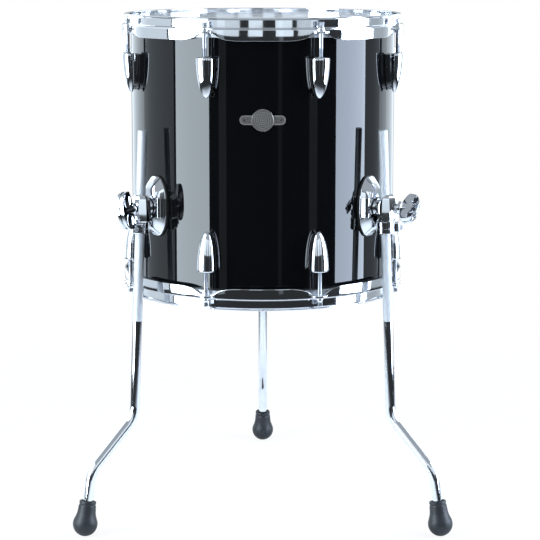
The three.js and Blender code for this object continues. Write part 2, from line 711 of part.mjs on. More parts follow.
// Middle line of a leg: straight runs joined by round bends, in the plane of its bracket
function legLine() {
  const middleLean = THREE.MathUtils.degToRad(LEG_MIDDLE_LEAN);
  const footLean = THREE.MathUtils.degToRad(LEG_FOOT_LEAN);
  const upper = legAt(UPPER_BEND_HEIGHT);
  const drop = (from, z, angle) => at(0, (from.z - z) * Math.tan(angle) - from.y, z);
  const lower = drop(upper, LOWER_BEND_HEIGHT, middleLean);
  const end = drop(lower, LEG_END_HEIGHT, footLean);
  const ballCentre = drop(lower, FOOT_DIAMETER / 2 - FOOT_FLAT_DEPTH, footLean);
  const start = legAt(blockTop + LEG_ABOVE_BLOCK);
  const points = [start];
  const corners = [
    { corner: upper, from: lean, to: middleLean },
    { corner: lower, from: middleLean, to: footLean },
  ];
  for (const { corner, from, to } of corners) {
    const reach = BEND_RADIUS * Math.tan(Math.abs(to - from) / 2);
    const side = Math.sign(to - from);
    const into = new THREE.Vector3(0, -Math.sin(from), -Math.cos(from));
    const across = new THREE.Vector3(0, -Math.cos(from), Math.sin(from)).multiplyScalar(side);
    const centre = corner.clone().addScaledVector(into, -reach).addScaledVector(across, BEND_RADIUS);
    for (let k = 0; k <= BEND_STEPS; k++) {
      const turn = (Math.abs(to - from) * k) / BEND_STEPS;
      const point = centre.clone();
      point.addScaledVector(across, -BEND_RADIUS * Math.cos(turn));
      point.addScaledVector(into, BEND_RADIUS * Math.sin(turn));
      points.push(point);
    }
  }
  return { points: [...points, end], lower, end, ballCentre };
}

// Curve whose stations are exactly the points it is given
class StationLine extends THREE.Curve {
  constructor(points) {
    super();
    this.points = points;
  }
  getPointAt(share) {
    return this.points[Math.round(share * (this.points.length - 1))].clone();
  }
  getTangentAt(share) {
    const k = Math.round(share * (this.points.length - 1));
    const before = this.points[Math.max(k - 1, 0)];
    const after = this.points[Math.min(k + 1, this.points.length - 1)];
    const here = this.points[k];
    const into = here.clone().sub(before).normalize();
    const out = after.clone().sub(here).normalize();
    return into.add(out).normalize();
  }
}

function makeLeg() {
  const { points } = legLine();
  const section = new THREE.Shape();
  for (let k = 0; k < LEG_SIDES; k++) {
    const turn = (2 * Math.PI * k) / LEG_SIDES;
    const [x, y] = [legRadius * Math.cos(turn), legRadius * Math.sin(turn)];
    if (k === 0) section.moveTo(x, y);
    else section.lineTo(x, y);
  }
  section.closePath();
  const path = new StationLine(points);
  return solid(new THREE.ExtrudeGeometry(section, { steps: points.length - 1, extrudePath: path }));
}

// Rubber foot, turned about the leg's last straight stretch and worn flat on the floor
function makeFoot() {
  const { lower, end, ballCentre } = legLine();
  const down = ballCentre.clone().sub(lower).normalize();
  const ball = FOOT_DIAMETER / 2;
  const neck = FOOT_NECK_DIAMETER / 2;
  const round = (share) => [ball * Math.sin(share * Math.PI), -ball * Math.cos(share * Math.PI)];
  const neckTop = FOOT_HEIGHT - ballCentre.z;
  const profile = [
    [0, -ball],
    ...FOOT_BALL_TURN_SHARES.map(round),
    [neck * FOOT_WAIST_RADIUS_SHARE, neckTop * FOOT_WAIST_HEIGHT_SHARE],
    [neck, neckTop - (3 * FOOT_NOTCH_HEIGHT) / 2],
    [neck - FOOT_NOTCH_DEPTH, neckTop - FOOT_NOTCH_HEIGHT],
    [neck, neckTop - FOOT_NOTCH_HEIGHT / 2],
    [neck - FOOT_NOTCH_DEPTH, neckTop],
    [0, neckTop],
  ];
  const lay = new THREE.Matrix4().makeRotationFromQuaternion(
    new THREE.Quaternion().setFromUnitVectors(new THREE.Vector3(0, 0, 1), down.clone().negate()),
  );
  const body = turned(profile, FOOT_SIDES).transform(lay.setPosition(ballCentre).elements);
  const floor = new THREE.BoxGeometry(2 * FOOT_DIAMETER, 2 * FOOT_DIAMETER, FOOT_DIAMETER);
  floor.translate(ballCentre.x, ballCentre.y, -FOOT_DIAMETER / 2);
  const legRoom = boreFor(end.clone().addScaledVector(down, GAP), lower, legRadius, LEG_SIDES);
  return body.subtract(solid(floor)).subtract(legRoom);
}

// The drum is symmetrical left to right; the origin is under the middle of its box
const footReach = -legLine().ballCentre.y;
const frontReach = footReach * Math.cos(THREE.MathUtils.degToRad(LEG_ANGLES[1]));
drum.position.y = (frontReach - footReach) / 2;

addPart(drum, "shell", makeShell(), lacquer);

// The bottom hardware is the top hardware turned over about the middle of the shell
const upright = (body) => body;
const overturned = (body) => body.translate([0, 0, -shellMiddle]).rotate([0, 180, 0]).translate([0, 0, shellMiddle]);
const ends = [
  { name: "batter", turn: upright },
  { name: "resonant", turn: overturned },
];
const head = makeHead();
const hoop = makeHoop();
const rod = makeRod();
const lug = makeLug();
for (const { name, turn } of ends) {
  addPart(drum, name + "_head", turn(head), film);
  addPart(drum, name + "_hoop", turn(hoop), chrome);
  rodAngles.forEach((angle, k) => {
    const place = station(angle);
    addPart(place, name + "_tension_rod_" + (k + 1), turn(rod), chrome);
    addPart(place, name + "_lug_" + (k + 1), turn(lug), chrome);
  });
}

addPart(drum, "badge", makeBadge(), nickel);
addPart(station(VENT_ANGLE), "vent_grommet", makeVent(), chrome);

const bracket = makeBracket();
const shoe = makeShoe();
const lock = makeLock();
const lockKey = makeLockKey();
const leg = makeLeg();
const foot = makeFoot();
LEG_ANGLES.forEach((angle, k) => {
  const place = station(angle);
  const side = LEG_NAMES[k];
  addPart(place, side + "_leg_bracket", bracket, chrome);
  addPart(place, side + "_clamp_shoe", shoe, satinSteel);
  addPart(place, side + "_wing_screw", makeWing(WING_ROLLS[k]), chrome);
  addPart(place, side + "_memory_lock", lock, chrome);
  addPart(place, side + "_lock_key_screw", lockKey, satinSteel);
  addPart(place, side + "_leg", leg, chrome);
  addPart(place, side + "_rubber_foot", foot, rubber);
});

export default drum;
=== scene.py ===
# Floor tom: the detailed looks of a black lacquered drum on three chromed legs, over its CAD frame.
import math

import bpy
from mathutils import Matrix, Vector


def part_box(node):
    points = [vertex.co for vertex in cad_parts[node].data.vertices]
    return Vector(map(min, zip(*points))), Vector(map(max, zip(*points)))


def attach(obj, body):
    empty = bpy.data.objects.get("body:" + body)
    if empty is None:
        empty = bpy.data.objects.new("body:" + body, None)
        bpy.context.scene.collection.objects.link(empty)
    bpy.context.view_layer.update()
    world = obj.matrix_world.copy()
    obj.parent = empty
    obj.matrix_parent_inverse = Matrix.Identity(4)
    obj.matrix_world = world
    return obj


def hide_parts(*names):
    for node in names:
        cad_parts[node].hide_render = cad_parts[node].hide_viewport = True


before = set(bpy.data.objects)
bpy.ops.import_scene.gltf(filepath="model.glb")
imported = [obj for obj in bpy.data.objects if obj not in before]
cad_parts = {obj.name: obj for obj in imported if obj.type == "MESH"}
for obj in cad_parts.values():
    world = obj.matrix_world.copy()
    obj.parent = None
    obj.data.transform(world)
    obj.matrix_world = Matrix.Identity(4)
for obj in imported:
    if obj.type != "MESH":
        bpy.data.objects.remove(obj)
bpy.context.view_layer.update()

# Lengths are in millimetres here and become metres where a piece is made.
# Each piece is modelled as if it faced the front of a drum standing on the Z axis,
# then turned to its station and moved onto the drum's own axis.
MM = 0.001
shell_low, shell_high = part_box("shell")
DRUM_AXIS = Vector((0, (shell_low[1] + shell_high[1]) / 2, 0))

SHELL_RADIUS = 177.8
SHELL_BORE = 170.6
SHELL_BOTTOM = 307.2
SHELL_TOP = 662.8
SHELL_MIDDLE = (SHELL_TOP + SHELL_BOTTOM) / 2
ROD_CIRCLE = 191.8
ROD_ANGLES = [22.5 + 45 * k for k in range(8)]
LEGS = {"left": -51, "right": 51, "rear": 180}
ROUND_STEPS = 160
WELD = 0.002 * MM

# Legs: where the rod meets the bracket's middle, and how it leans there
BRACKET_Z = 424.6
LEG_CIRCLE = 205.0
LEG_LEAN = math.radians(2.7)
LEG_RADIUS = 6.35


# ---- Finishes ----


def paint(code):
    """An sRGB colour such as "e3e5e8" as Blender's linear one"""
    parts = [int(code[k : k + 2], 16) / 255 for k in (0, 2, 4)]
    return [c / 12.92 if c <= 0.04045 else ((c + 0.055) / 1.055) ** 2.4 for c in parts] + [1]


def node(tree, kind, inputs=None, **settings):
    """Adds one node; an input may be a value or another node's output"""
    made = tree.nodes.new("ShaderNode" + kind)
    for key, value in settings.items():
        setattr(made, key, value)
    for key, value in (inputs or {}).items():
        if isinstance(value, bpy.types.NodeSocket):
            tree.links.new(value, made.inputs[key])
        else:
            made.inputs[key].default_value = value
    return made


def finish(name, code, roughness, metallic=0.0, **more):
    """A named finish on one Principled shader; returns the material, its tree and the shader"""
    material = bpy.data.materials.new(name)
    material.use_nodes = True
    shader = material.node_tree.nodes["Principled BSDF"]
    shader.inputs["Base Color"].default_value = paint(code)
    shader.inputs["Roughness"].default_value = roughness
    shader.inputs["Metallic"].default_value = metallic
    for key, value in more.items():
        shader.inputs[key.replace("_", " ")].default_value = value
    return material, material.node_tree, shader


def spread(tree, value, low, high, to_low=0.0, to_high=1.0, **settings):
    """Maps a value from one range to another, held at the ends"""
    inputs = {"Value": value, "From Min": low, "From Max": high}
    inputs.update({"To Min": to_low, "To Max": to_high})
    return node(tree, "MapRange", inputs, **settings).outputs["Result"]


def object_place(tree):
    return node(tree, "TexCoord").outputs["Object"]


def clouds(tree, place, size, detail=2.0):
    """Soft noise with features of that size in millimetres"""
    inputs = {"Vector": place, "Scale": 1 / (size * MM), "Detail": detail}
    return node(tree, "TexNoise", inputs).outputs["Fac"]


def raised(tree, shader, height, strength, depth):
    """Bump from a height, that deep in millimetres"""
    bump = node(tree, "Bump", {"Height": height, "Strength": strength, "Distance": depth * MM})
    tree.links.new(bump.outputs["Normal"], shader.inputs["Normal"])


def between(tree, share, first, second):
    """A colour between two sRGB codes"""
    inputs = {"Factor": share, "A": paint(first), "B": paint(second)}
    return node(tree, "Mix", inputs, data_type="RGBA").outputs["Result"]


def waviness(tree, shader, size, strength, depth, detail=2.0):
    """Bump from soft noise, with features of that size and depth in millimetres"""
    raised(tree, shader, clouds(tree, object_place(tree), size, detail), strength, depth)


def worn_gloss(tree, shader, size, low, high):
    """Roughness that drifts between two values, as handling and polishing leave it"""
    drift = clouds(tree, object_place(tree), size, 4.0)
    tree.links.new(spread(tree, drift, 0.35, 0.65, low, high), shader.inputs["Roughness"])


def black_lacquer():
    # Polished black lacquer: mirror reflections with the faint pull of a sprayed and buffed coat
    material, tree, shader = finish("black polished lacquer", "060709", 0.03, IOR=1.5)
    waviness(tree, shader, 45, 0.35, 0.05)
    return material


def drum_wood():
    # Bare maple ply inside the shell: upright grain streaks under a thin clear sealer
    material, tree, shader = finish("sealed maple ply", "c79f6e", 0.42)
    stretched = {"Vector": object_place(tree), "Scale": (1.0, 1.0, 0.06)}
    place = node(tree, "Mapping", stretched).outputs["Vector"]
    grain = clouds(tree, place, 3.0, 6.0)
    both = node(tree, "Math", {0: grain, 1: clouds(tree, place, 34)}, operation="ADD")
    tint = between(tree, spread(tree, both.outputs["Value"], 0.75, 1.3), "b98d5c", "e6cba4")
    tree.links.new(tint, shader.inputs["Base Color"])
    raised(tree, shader, grain, 0.25, 0.1)
    return material


def chrome_plate():
    # Bright chrome over steel and castings: mirror sharp, with wiped patches a little softer
    material, tree, shader = finish("bright chrome plate", "e2e4e8", 0.05, 1.0)
    worn_gloss(tree, shader, 18, 0.035, 0.075)
    return material


def satin_steel():
    # Satin steel of small screws, washers and the flesh hoops
    material, tree, shader = finish("satin steel", "b9bcc2", 0.3, 1.0)
    waviness(tree, shader, 0.6, 0.2, 0.02)
    return material


def knurled_steel():
    # Fine diamond knurl rolled into the upper leg, matt to the eye, so that the clamp grips
    material, tree, shader = finish("knurled plated steel", "c9ccd1", 0.52, 1.0)
    place = object_place(tree)
    waves = []
    for turn in (45, -45):
        laid = node(tree, "Mapping", {"Vector": place, "Rotation": (0, math.radians(turn), 0)})
        pitch = {"Vector": laid.outputs["Vector"], "Scale": 0.314 / (1.1 * MM)}
        wave = node(tree, "TexWave", pitch, wave_type="BANDS", bands_direction="X")
        waves.append(wave.outputs["Fac"])
    both = node(tree, "Math", {0: waves[0], 1: waves[1]}, operation="MULTIPLY")
    raised(tree, shader, both.outputs["Value"], 0.9, 0.3)
    return material


def etched_nickel(name, code):
    # Nickel of the badge, brushed soft: plain on its borders and disc, smoked in the arms
    material, tree, shader = finish(name, code, 0.24, 0.9)
    waviness(tree, shader, 0.5, 0.25, 0.03)
    return material


def dark_enamel():
    # Dark grey fill in the grooves of the badge, satin and a little dusty
    material, tree, shader = finish("dark badge enamel", "3c3a3a", 0.35, 0.3)
    waviness(tree, shader, 0.5, 0.2, 0.02)
    return material


def clear_film():
    # Clear polyester head: nearly unseen straight on; looked across it grows more opaque, so beside
    # its own reflection its near-white colour shows there as a painted sheen
    material, tree, shader = finish("clear drum film", "f1f5f9", 0.12)
    worn_gloss(tree, shader, 30, 0.1, 0.2)
    # Opacity follows the facing angle: at grazing views the film's near-white colour shows as a
    # painted sheen
    facing = node(tree, "LayerWeight", {"Blend": 0.5}).outputs["Facing"]
    tree.links.new(spread(tree, facing, 0.2, 0.85, 0.12, 0.72), shader.inputs["Alpha"])
    return material


def moulded_rubber():
    # Matt black rubber of the feet, with the fine grain of its mould
    material, tree, shader = finish("matt moulded rubber", "0b0f15", 0.48)
    waviness(tree, shader, 0.9, 0.35, 0.12, 5.0)
    return material


def gasket_fibre():
    # Thin black gaskets between the castings and the lacquer
    return finish("black gasket", "0d0d0e", 0.6)[0]


LACQUER = black_lacquer()
MAPLE = drum_wood()
CHROME = chrome_plate()
SATIN = satin_steel()
KNURL = knurled_steel()
NICKEL = etched_nickel("brushed nickel", "ddd8d3")
SMOKED = etched_nickel("smoked nickel", "aeaaa7")
ENAMEL = dark_enamel()
FILM = clear_film()
RUBBER = moulded_rubber()
GASKET = gasket_fibre()


# ---- Ways of making a piece ----


def select_only(obj):
    bpy.ops.object.select_all(action="DESELECT")
    obj.select_set(True)
    bpy.context.view_layer.objects.active = obj


def begin(obj):
    """Goes into edit mode on a piece, with all of it selected"""
    select_only(obj)
    bpy.ops.object.mode_set(mode="EDIT")
    bpy.ops.mesh.select_all(action="SELECT")


def close_up(obj):
    """Merges doubled corners, turns the faces outwards and leaves edit mode"""
    bpy.ops.mesh.select_all(action="SELECT")
    bpy.ops.mesh.remove_doubles(threshold=WELD)
    bpy.ops.mesh.normals_make_consistent(inside=False)
    bpy.ops.object.mode_set(mode="OBJECT")
    return obj


def smooth(obj, angle=35):
    select_only(obj)
    bpy.ops.object.shade_smooth_by_angle(angle=math.radians(angle))
    return obj


def flatten_shading(obj):
    """Lets the large faces set the shading, so that long flats beside round edges look flat"""
    select_only(obj)
    weight = obj.modifiers.new("shading by area", "WEIGHTED_NORMAL")
    weight.keep_sharp = True
    bpy.ops.object.modifier_apply(modifier=weight.name)
    return obj


def settle(obj):
    """Puts the object's own origin at the frame's origin, unturned and unscaled"""
    select_only(obj)
    bpy.ops.object.transform_apply(location=True, rotation=True, scale=True)
    return obj


def extrude(x, y, z):
    bpy.ops.mesh.extrude_region_move(TRANSFORM_OT_translate={"value": (x * MM, y * MM, z * MM)})


def drawn(name, points):
    """A line through [x, y, z] points, in edit mode with all of it selected"""
    bpy.ops.object.select_all(action="DESELECT")
    bpy.ops.mesh.primitive_plane_add(size=MM, location=(0, 0, 0))
    obj = bpy.context.object
    obj.name = obj.data.name = name
    begin(obj)
    bpy.ops.mesh.merge(type="CENTER")
    bpy.ops.transform.translate(value=[v * MM for v in points[0]])
    for start, end in zip(points, points[1:]):
        extrude(*(b - a for a, b in zip(start, end)))
    bpy.ops.mesh.select_all(action="SELECT")
    return obj


def mirrored(half):
    """A closed outline from its half at +x"""
    return half + [[-x, z] for x, z in reversed(half)] + [half[0]]


def turned(name, profile, material, steps=ROUND_STEPS, angle=35):
    """A turned piece about the Z axis, from [radius, height] points"""
    obj = drawn(name, [(radius, 0, height) for radius, height in profile])
    bpy.ops.mesh.spin(steps=steps, angle=math.tau, center=(0, 0, 0), axis=(0, 0, 1))
    close_up(obj)
    obj.data.materials.append(material)
    return smooth(obj, angle)


def lofted(name, rings, material, sides=32, angle=35):
    """A casting drawn out of a disc: each ring is (x, y, z, half width, half depth)"""
    x, y, z, wide, deep = rings[0]
    bpy.ops.object.select_all(action="DESELECT")
    bpy.ops.mesh.primitive_circle_add(
        vertices=sides, radius=wide * MM, fill_type="NGON", location=(0, 0, 0)
    )
    obj = bpy.context.object
    obj.name = obj.data.name = name
    begin(obj)
    bpy.ops.transform.resize(value=(1, deep / wide, 1), center_override=(0, 0, 0))
    bpy.ops.transform.translate(value=(x * MM, y * MM, z * MM))
    for (x0, y0, z0, w0, d0), (x1, y1, z1, w1, d1) in zip(rings, rings[1:]):
        extrude(x1 - x0, y1 - y0, z1 - z0)
        middle = (x1 * MM, y1 * MM, z1 * MM)
        bpy.ops.transform.resize(value=(w1 / w0, d1 / d0, 1), center_override=middle)
    close_up(obj)
    obj.data.materials.append(material)
    return smooth(obj, angle)


def plate(name, outline, thickness, material, bevel=0.0):
    """A flat piece from an outline of [x, z] points, its back at y = 0, growing outwards"""
    obj = drawn(name, [(x, 0, z) for x, z in outline])
    bpy.ops.mesh.edge_face_add()
    extrude(0, -thickness, 0)
    close_up(obj)
    obj.data.materials.append(material)
    if bevel:
        soften(obj, bevel)
    return smooth(obj)


def cylinder(radius, length, start=0.0, sides=48, out=0.0):
    """Plain round tool along +Z, from a start along it"""
    place = (0, -out * MM, (start + length / 2) * MM)
    bpy.ops.object.select_all(action="DESELECT")
    bpy.ops.mesh.primitive_cylinder_add(
        vertices=sides, radius=radius * MM, depth=length * MM, location=place
    )
    return settle(bpy.context.object)


def box(size, middle):
    """Plain square tool by its (x, out, z) size and middle"""
    bpy.ops.object.select_all(action="DESELECT")
    x, out, z = middle
    bpy.ops.mesh.primitive_cube_add(size=1, location=(x * MM, -out * MM, z * MM))
    tool = bpy.context.object
    tool.scale = [v * MM for v in size]
    return settle(tool)


def square_head(size, z, rounding):
    """Square key head of a screw, standing on the Z axis"""
    head = box((size, size, size), (0, 0, z))
    head.data.materials.append(SATIN)
    soften(head, rounding)
    return smooth(head)


def soften(obj, width, segments=3, angle=40):
    """Rounds the edges sharper than that angle"""
    select_only(obj)
    rounding = obj.modifiers.new("rounded edges", "BEVEL")
    rounding.width = width * MM
    rounding.segments = segments
    rounding.limit_method = "ANGLE"
    rounding.angle_limit = math.radians(angle)
    bpy.ops.object.modifier_apply(modifier=rounding.name)
    return obj


def cut(obj, cutter, operation="DIFFERENCE"):
    """Takes the cutter out of the piece, or joins it on, and removes the cutter"""
    select_only(obj)
    carve = obj.modifiers.new("cut", "BOOLEAN")
    carve.operation = operation
    carve.object = cutter
    carve.solver = "EXACT"
    bpy.ops.object.modifier_apply(modifier=carve.name)
    bpy.data.objects.remove(cutter)
    return obj


def lay(obj, x, out, z, direction=(0, 0, 1), roll=0.0):
    """Moves a piece made about +Z so that it starts at a point and runs along a direction"""
    along = Vector((direction[0], -direction[1], direction[2])).normalized()
    turn = Vector((0, 0, 1)).rotation_difference(along).to_matrix().to_4x4()
    spin = Matrix.Rotation(math.radians(roll), 4, "Z")
    obj.matrix_world = Matrix.Translation((x * MM, -out * MM, z * MM)) @ turn @ spin
    return settle(obj)


def joined(name, pieces):
    """Several bodies of one piece as one object"""
    bpy.ops.object.select_all(action="DESELECT")
    for piece in pieces:
        piece.select_set(True)
    bpy.context.view_layer.objects.active = pieces[0]
    bpy.ops.object.join()
    pieces[0].name = pieces[0].data.name = name
    return pieces[0]


def own_copy(obj):
    """A copy of a piece with its own mesh"""
    copy = obj.copy()
    copy.data = obj.data.copy()
    bpy.context.collection.objects.link(copy)
    return copy


def at_station(obj, angle, name, overturned=False):
    """A copy of a piece at an angle round the drum"""
    copy = own_copy(obj)
    copy.name = copy.data.name = name
    place = Matrix.Translation(DRUM_AXIS) @ Matrix.Rotation(math.radians(angle), 4, "Z")
    if overturned:
        over = Matrix.Rotation(math.pi, 4, "Y")
        middle = Matrix.Translation((0, 0, SHELL_MIDDLE * MM))
        place = place @ middle @ over @ middle.inverted()
    copy.matrix_world = place
    return flatten_shading(settle(copy))


def hide_source(*pieces):
    """Removes the pieces that only served to be copied"""
    for piece in pieces:
        bpy.data.objects.remove(piece)


def belongs(obj, body, slot, *nodes):
    """Hangs the piece on the body it rides on and hides the solids it stands for; the slot argument
    is not used
    """
    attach(obj, body)
    if nodes:
        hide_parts(*nodes)


# ---- Shell, heads and hoops ----

VENT_ANGLE = 135
VENT_HOLE_RADIUS = 6.5


def make_shell():
    """The lacquered wall, with the same bevel and bearing edge at both ends, and its vent hole"""
    edge = [
        [SHELL_RADIUS, 3.5],
        [SHELL_RADIUS, 1.5],
        [SHELL_RADIUS - 0.45, 0.45],
        [SHELL_RADIUS - 1.5, 0],
        [SHELL_RADIUS - 2.4, 0],
        [SHELL_RADIUS - 3.1, 0.3],
        [SHELL_BORE, 4.2],
    ]
    top = [[radius, SHELL_TOP - down] for radius, down in edge]
    bottom = [[radius, SHELL_BOTTOM + up] for radius, up in reversed(edge)]
    section = [bottom[-2], bottom[-1]] + top + bottom[:-1]
    wall = turned("shell wall", section, LACQUER, steps=256)
    wall.data.materials.append(MAPLE)
    for face in wall.data.polygons:
        if math.hypot(face.center.x, face.center.y) < (SHELL_RADIUS - 0.6) * MM:
            face.material_index = 1
    tool = cylinder(VENT_HOLE_RADIUS, 30, -15, 40)
    lay(tool, 0, (SHELL_RADIUS + SHELL_BORE) / 2, SHELL_MIDDLE, (0, 1, 0))
    hole = at_station(tool, VENT_ANGLE, "vent hole")
    shell = cut(at_station(wall, 0, "lacquered_shell"), hole)
    hide_source(tool, wall)
    return shell


# Levels at the top end, all mirrored for the bottom end
RIM_TOP = 672.0
HOOP_INNER = 180.0
LEDGE_TOP = 658.5
SKIRT_BOTTOM = LEDGE_TOP - 15.3
EAR_TOP = 655.5
EAR_THICKNESS = 3
EAR_REACH = 200.0
EAR_HALF = 10.5
EAR_ROUND = 7.5
# Degrees either side of an ear where the skirt stays raised, then where it sweeps down
SKIRT_RAISED = 3.4
SKIRT_SWEEP = 9.5
FLESH_TOP = 654.5


def make_head():
    """The clear film with its collar, and the flesh hoop that holds it"""
    film = turned(
        "film",
        [
            [0, 663.5],
            [176.9, 663.5],
            [177.9, 663.1],
            [178.5, 662.3],
            [178.5, FLESH_TOP - 1.4],
            [178.1, FLESH_TOP - 1.4],
            [178.1, 662.2],
            [177.6, 662.85],
            [176.8, 663.1],
            [0, 663.1],
        ],
        FILM,
        steps=192,
    )
    flesh = turned(
        "flesh hoop",
        [
            [178.1, FLESH_TOP - 1.3],
            [178.7, FLESH_TOP],
            [184.7, FLESH_TOP],
            [185.4, FLESH_TOP - 0.7],
            [185.4, FLESH_TOP - 7.0],
            [184.9, FLESH_TOP - 7.6],
            [178.7, FLESH_TOP - 7.6],
            [178.1, FLESH_TOP - 6.9],
            [178.1, FLESH_TOP - 1.3],
        ],
        SATIN,
        steps=192,
    )
    return film, flesh


def hoop_ear():
    """One ear: a drop of the ledge round a rod, with its rolled edge and bright hole"""
    outline = []
    for k in range(13):
        turn = math.radians(180 * k / 12)
        reach = EAR_REACH - EAR_ROUND + EAR_ROUND * math.sin(turn)
        outline.append([EAR_HALF * math.cos(turn), -reach])
    outline = [[13.0, -184.0]] + outline + [[-13.0, -184.0], [13.0, -184.0]]
    ear = drawn("hoop ear", [(x, y, EAR_TOP - EAR_THICKNESS) for x, y in outline])
    bpy.ops.mesh.remove_doubles(threshold=WELD)
    bpy.ops.mesh.edge_face_add()
    extrude(0, 0, EAR_THICKNESS)
    close_up(ear)
    ear.data.materials.append(CHROME)
    cut(ear, cylinder(3.15, 20, EAR_TOP - 10, 28, ROD_CIRCLE))
    soften(ear, 0.8)
    return smooth(ear)


def skirt_lift(angle):
    """How far the hoop's lower edge rises towards the nearest ear, from 0 to 1"""
    away = abs(angle % 45 - 22.5)
    share = min(1.0, max(0.0, (away - SKIRT_RAISED) / SKIRT_SWEEP))
    return 1 - math.sqrt(1 - (1 - share) ** 2)


def make_hoop():
    """Rolled rim, upright wall, ledge and scalloped skirt, with eight ears"""
    section = [
        [HOOP_INNER, RIM_TOP - 1.0],
        [HOOP_INNER + 0.3, RIM_TOP - 0.25],
        [HOOP_INNER + 1.1, RIM_TOP],
        [HOOP_INNER + 5.2, RIM_TOP],
        [HOOP_INNER + 6.1, RIM_TOP - 0.4],
        [HOOP_INNER + 6.4, RIM_TOP - 1.0],
        [HOOP_INNER + 6.1, RIM_TOP - 1.6],
        [HOOP_INNER + 5.2, RIM_TOP - 1.9],
        [HOOP_INNER + 3.2, RIM_TOP - 2.1],
        [HOOP_INNER + 2.3, RIM_TOP - 3.1],
        [HOOP_INNER + 2.3, LEDGE_TOP + 1.2],
        [HOOP_INNER + 2.9, LEDGE_TOP + 0.3],
        [HOOP_INNER + 4.0, LEDGE_TOP],
        [SHELL_RADIUS + 9.6, LEDGE_TOP - 0.4],
        [SHELL_RADIUS + 11.0, LEDGE_TOP - 1.0],
        [SHELL_RADIUS + 11.6, LEDGE_TOP - 2.4],
        [SHELL_RADIUS + 11.6, SKIRT_BOTTOM + 0.7],
        [SHELL_RADIUS + 11.2, SKIRT_BOTTOM],
        [SHELL_RADIUS + 9.7, SKIRT_BOTTOM],
        [SHELL_RADIUS + 9.3, SKIRT_BOTTOM + 0.7],
        [SHELL_RADIUS + 9.3, LEDGE_TOP - 3.7],
        [HOOP_INNER, LEDGE_TOP - 3.7],
        [HOOP_INNER, RIM_TOP - 1.0],
    ]
    hoop = turned("hoop", section, CHROME, steps=288, angle=30)
    # The skirt is scalloped: its edge is pulled up beside each ear
    highest = EAR_TOP - EAR_THICKNESS - 0.2 - SKIRT_BOTTOM
    for corner in hoop.data.vertices:
        place = corner.co
        on_skirt = math.hypot(place.x, place.y) >= (SHELL_RADIUS + 9) * MM
        if on_skirt and place.z <= (SKIRT_BOTTOM + 2.3) * MM:
            lift = skirt_lift(math.degrees(math.atan2(place.x, -place.y)))
            place.z += lift * highest * MM
    ears = []
    ear = hoop_ear()
    for angle in ROD_ANGLES:
        copy = own_copy(ear)
        copy.rotation_euler.z = math.radians(angle)
        ears.append(settle(copy))
    hide_source(ear)
    return joined("hoop", [hoop] + ears)


# ---- Lugs and tension rods ----

LUG_END = 622.0
LUG_LENGTH = 51.8
LUG_HALF_WIDTH = 12
LUG_HALF_DEPTH = 8


def bullet(along):
    """The lug's width at a share of its length, as a share of its full width"""
    return (1 - along**2.3) ** 0.55


def make_lug():
    """Bullet lug with its foot, gasket, swivel nut and two screws inside the shell"""
    rings = [
        (0, -ROD_CIRCLE, LUG_END - 0.9, 8.2, 5.6),
        (0, -ROD_CIRCLE, LUG_END, 9.0, 6.1),
        (0, -ROD_CIRCLE, LUG_END, 10.6, 7.1),
        (0, -ROD_CIRCLE, LUG_END - 0.5, 11.4, 7.65),
    ]
    shares = [0.03, 0.06, 0.12, 0.2, 0.3, 0.4, 0.5, 0.6]
    shares += [0.7, 0.78, 0.85, 0.9, 0.94, 0.97, 0.988, 0.998]
    for along in shares:
        half = [bullet(along) * size for size in (LUG_HALF_WIDTH, LUG_HALF_DEPTH)]
        centre = -(ROD_CIRCLE - 4.4 * along**2)
        rings.append((0, centre, LUG_END - along * LUG_LENGTH, *half))
    body = lofted("lug body", rings, CHROME, sides=40, angle=50)
    # The opening at the end: the mouth that the swivel nut sits in
    cut(body, cylinder(4.6, 16, LUG_END - 8, 32, ROD_CIRCLE))
    smooth(body, 50)
    foot = lug_foot("lug foot", 8.5, 46, 12.5, CHROME, 0)
    gasket = lug_foot("lug gasket", 9.3, 47.6, 1.0, GASKET, 0.8)
    nut = turned(
        "swivel nut",
        [
            [2.9, LUG_END - 7],
            [2.9, LUG_END + 0.2],
            [3.6, LUG_END + 0.5],
            [4.3, LUG_END + 0.2],
            [4.4, LUG_END - 7],
            [2.9, LUG_END - 7],
        ],
        SATIN,
        steps=32,
    )
    lay(nut, 0, ROD_CIRCLE, 0)
    screws = [inside_screw(LUG_END - down, 10) for down in (12, 38)]
    return joined("lug", [body, foot, gasket, nut] + screws)


def lug_foot(name, half_width, length, thickness, material, extra):
    """The lug's narrower foot against the shell, or the gasket under it"""
    start = LUG_END - 2.1 + extra
    side = []
    for k in range(17):
        along = math.sin(math.pi / 2 * k / 16)
        side.append([half_width * bullet(min(along, 0.9995)), start - along * length])
    foot = plate(name, mirrored(side), thickness + 1.5, material)
    foot.location.y = -(SHELL_RADIUS - 1.5) * MM
    settle(foot)
    cut(foot, cylinder(SHELL_RADIUS + 0.02, 120, LUG_END - 85, 256))
    return smooth(foot)


def inside_screw(z, size):
    """Pan-head screw with a washer against the shell's bore"""
    edge = size / 2
    section = [[0, 0], [edge + 0.2, 0], [edge + 0.2, 0.5], [edge - 0.1, 0.9], [0, 0.9]]
    washer = turned("washer", section, SATIN, steps=28)
    head = turned(
        "screw head",
        [[0, 0.7], [3.6, 0.7], [3.8, 1.4], [3.3, 2.4], [2.1, 3.1], [1.3, 3.3], [0, 3.3]],
        SATIN,
        steps=28,
    )
    # Cross slot, by the reach and the half width of its arms
    reach, half = 2.2, 0.45
    cross = [[-half, -reach], [half, -reach], [half, -half], [reach, -half], [reach, half]]
    cross += [[half, half], [half, reach]]
    cross += [[-x, -z] for x, z in cross[1:]]
    slot_cutter = plate("cross", cross, 4, SATIN)
    slot_cutter.rotation_euler.x = math.radians(-90)
    slot_cutter.location.z = 1.9 * MM
    cut(head, settle(slot_cutter))
    screw = joined("inside screw", [washer, head])
    return lay(screw, 0, SHELL_BORE - 0.05, z, (0, -1, 0))


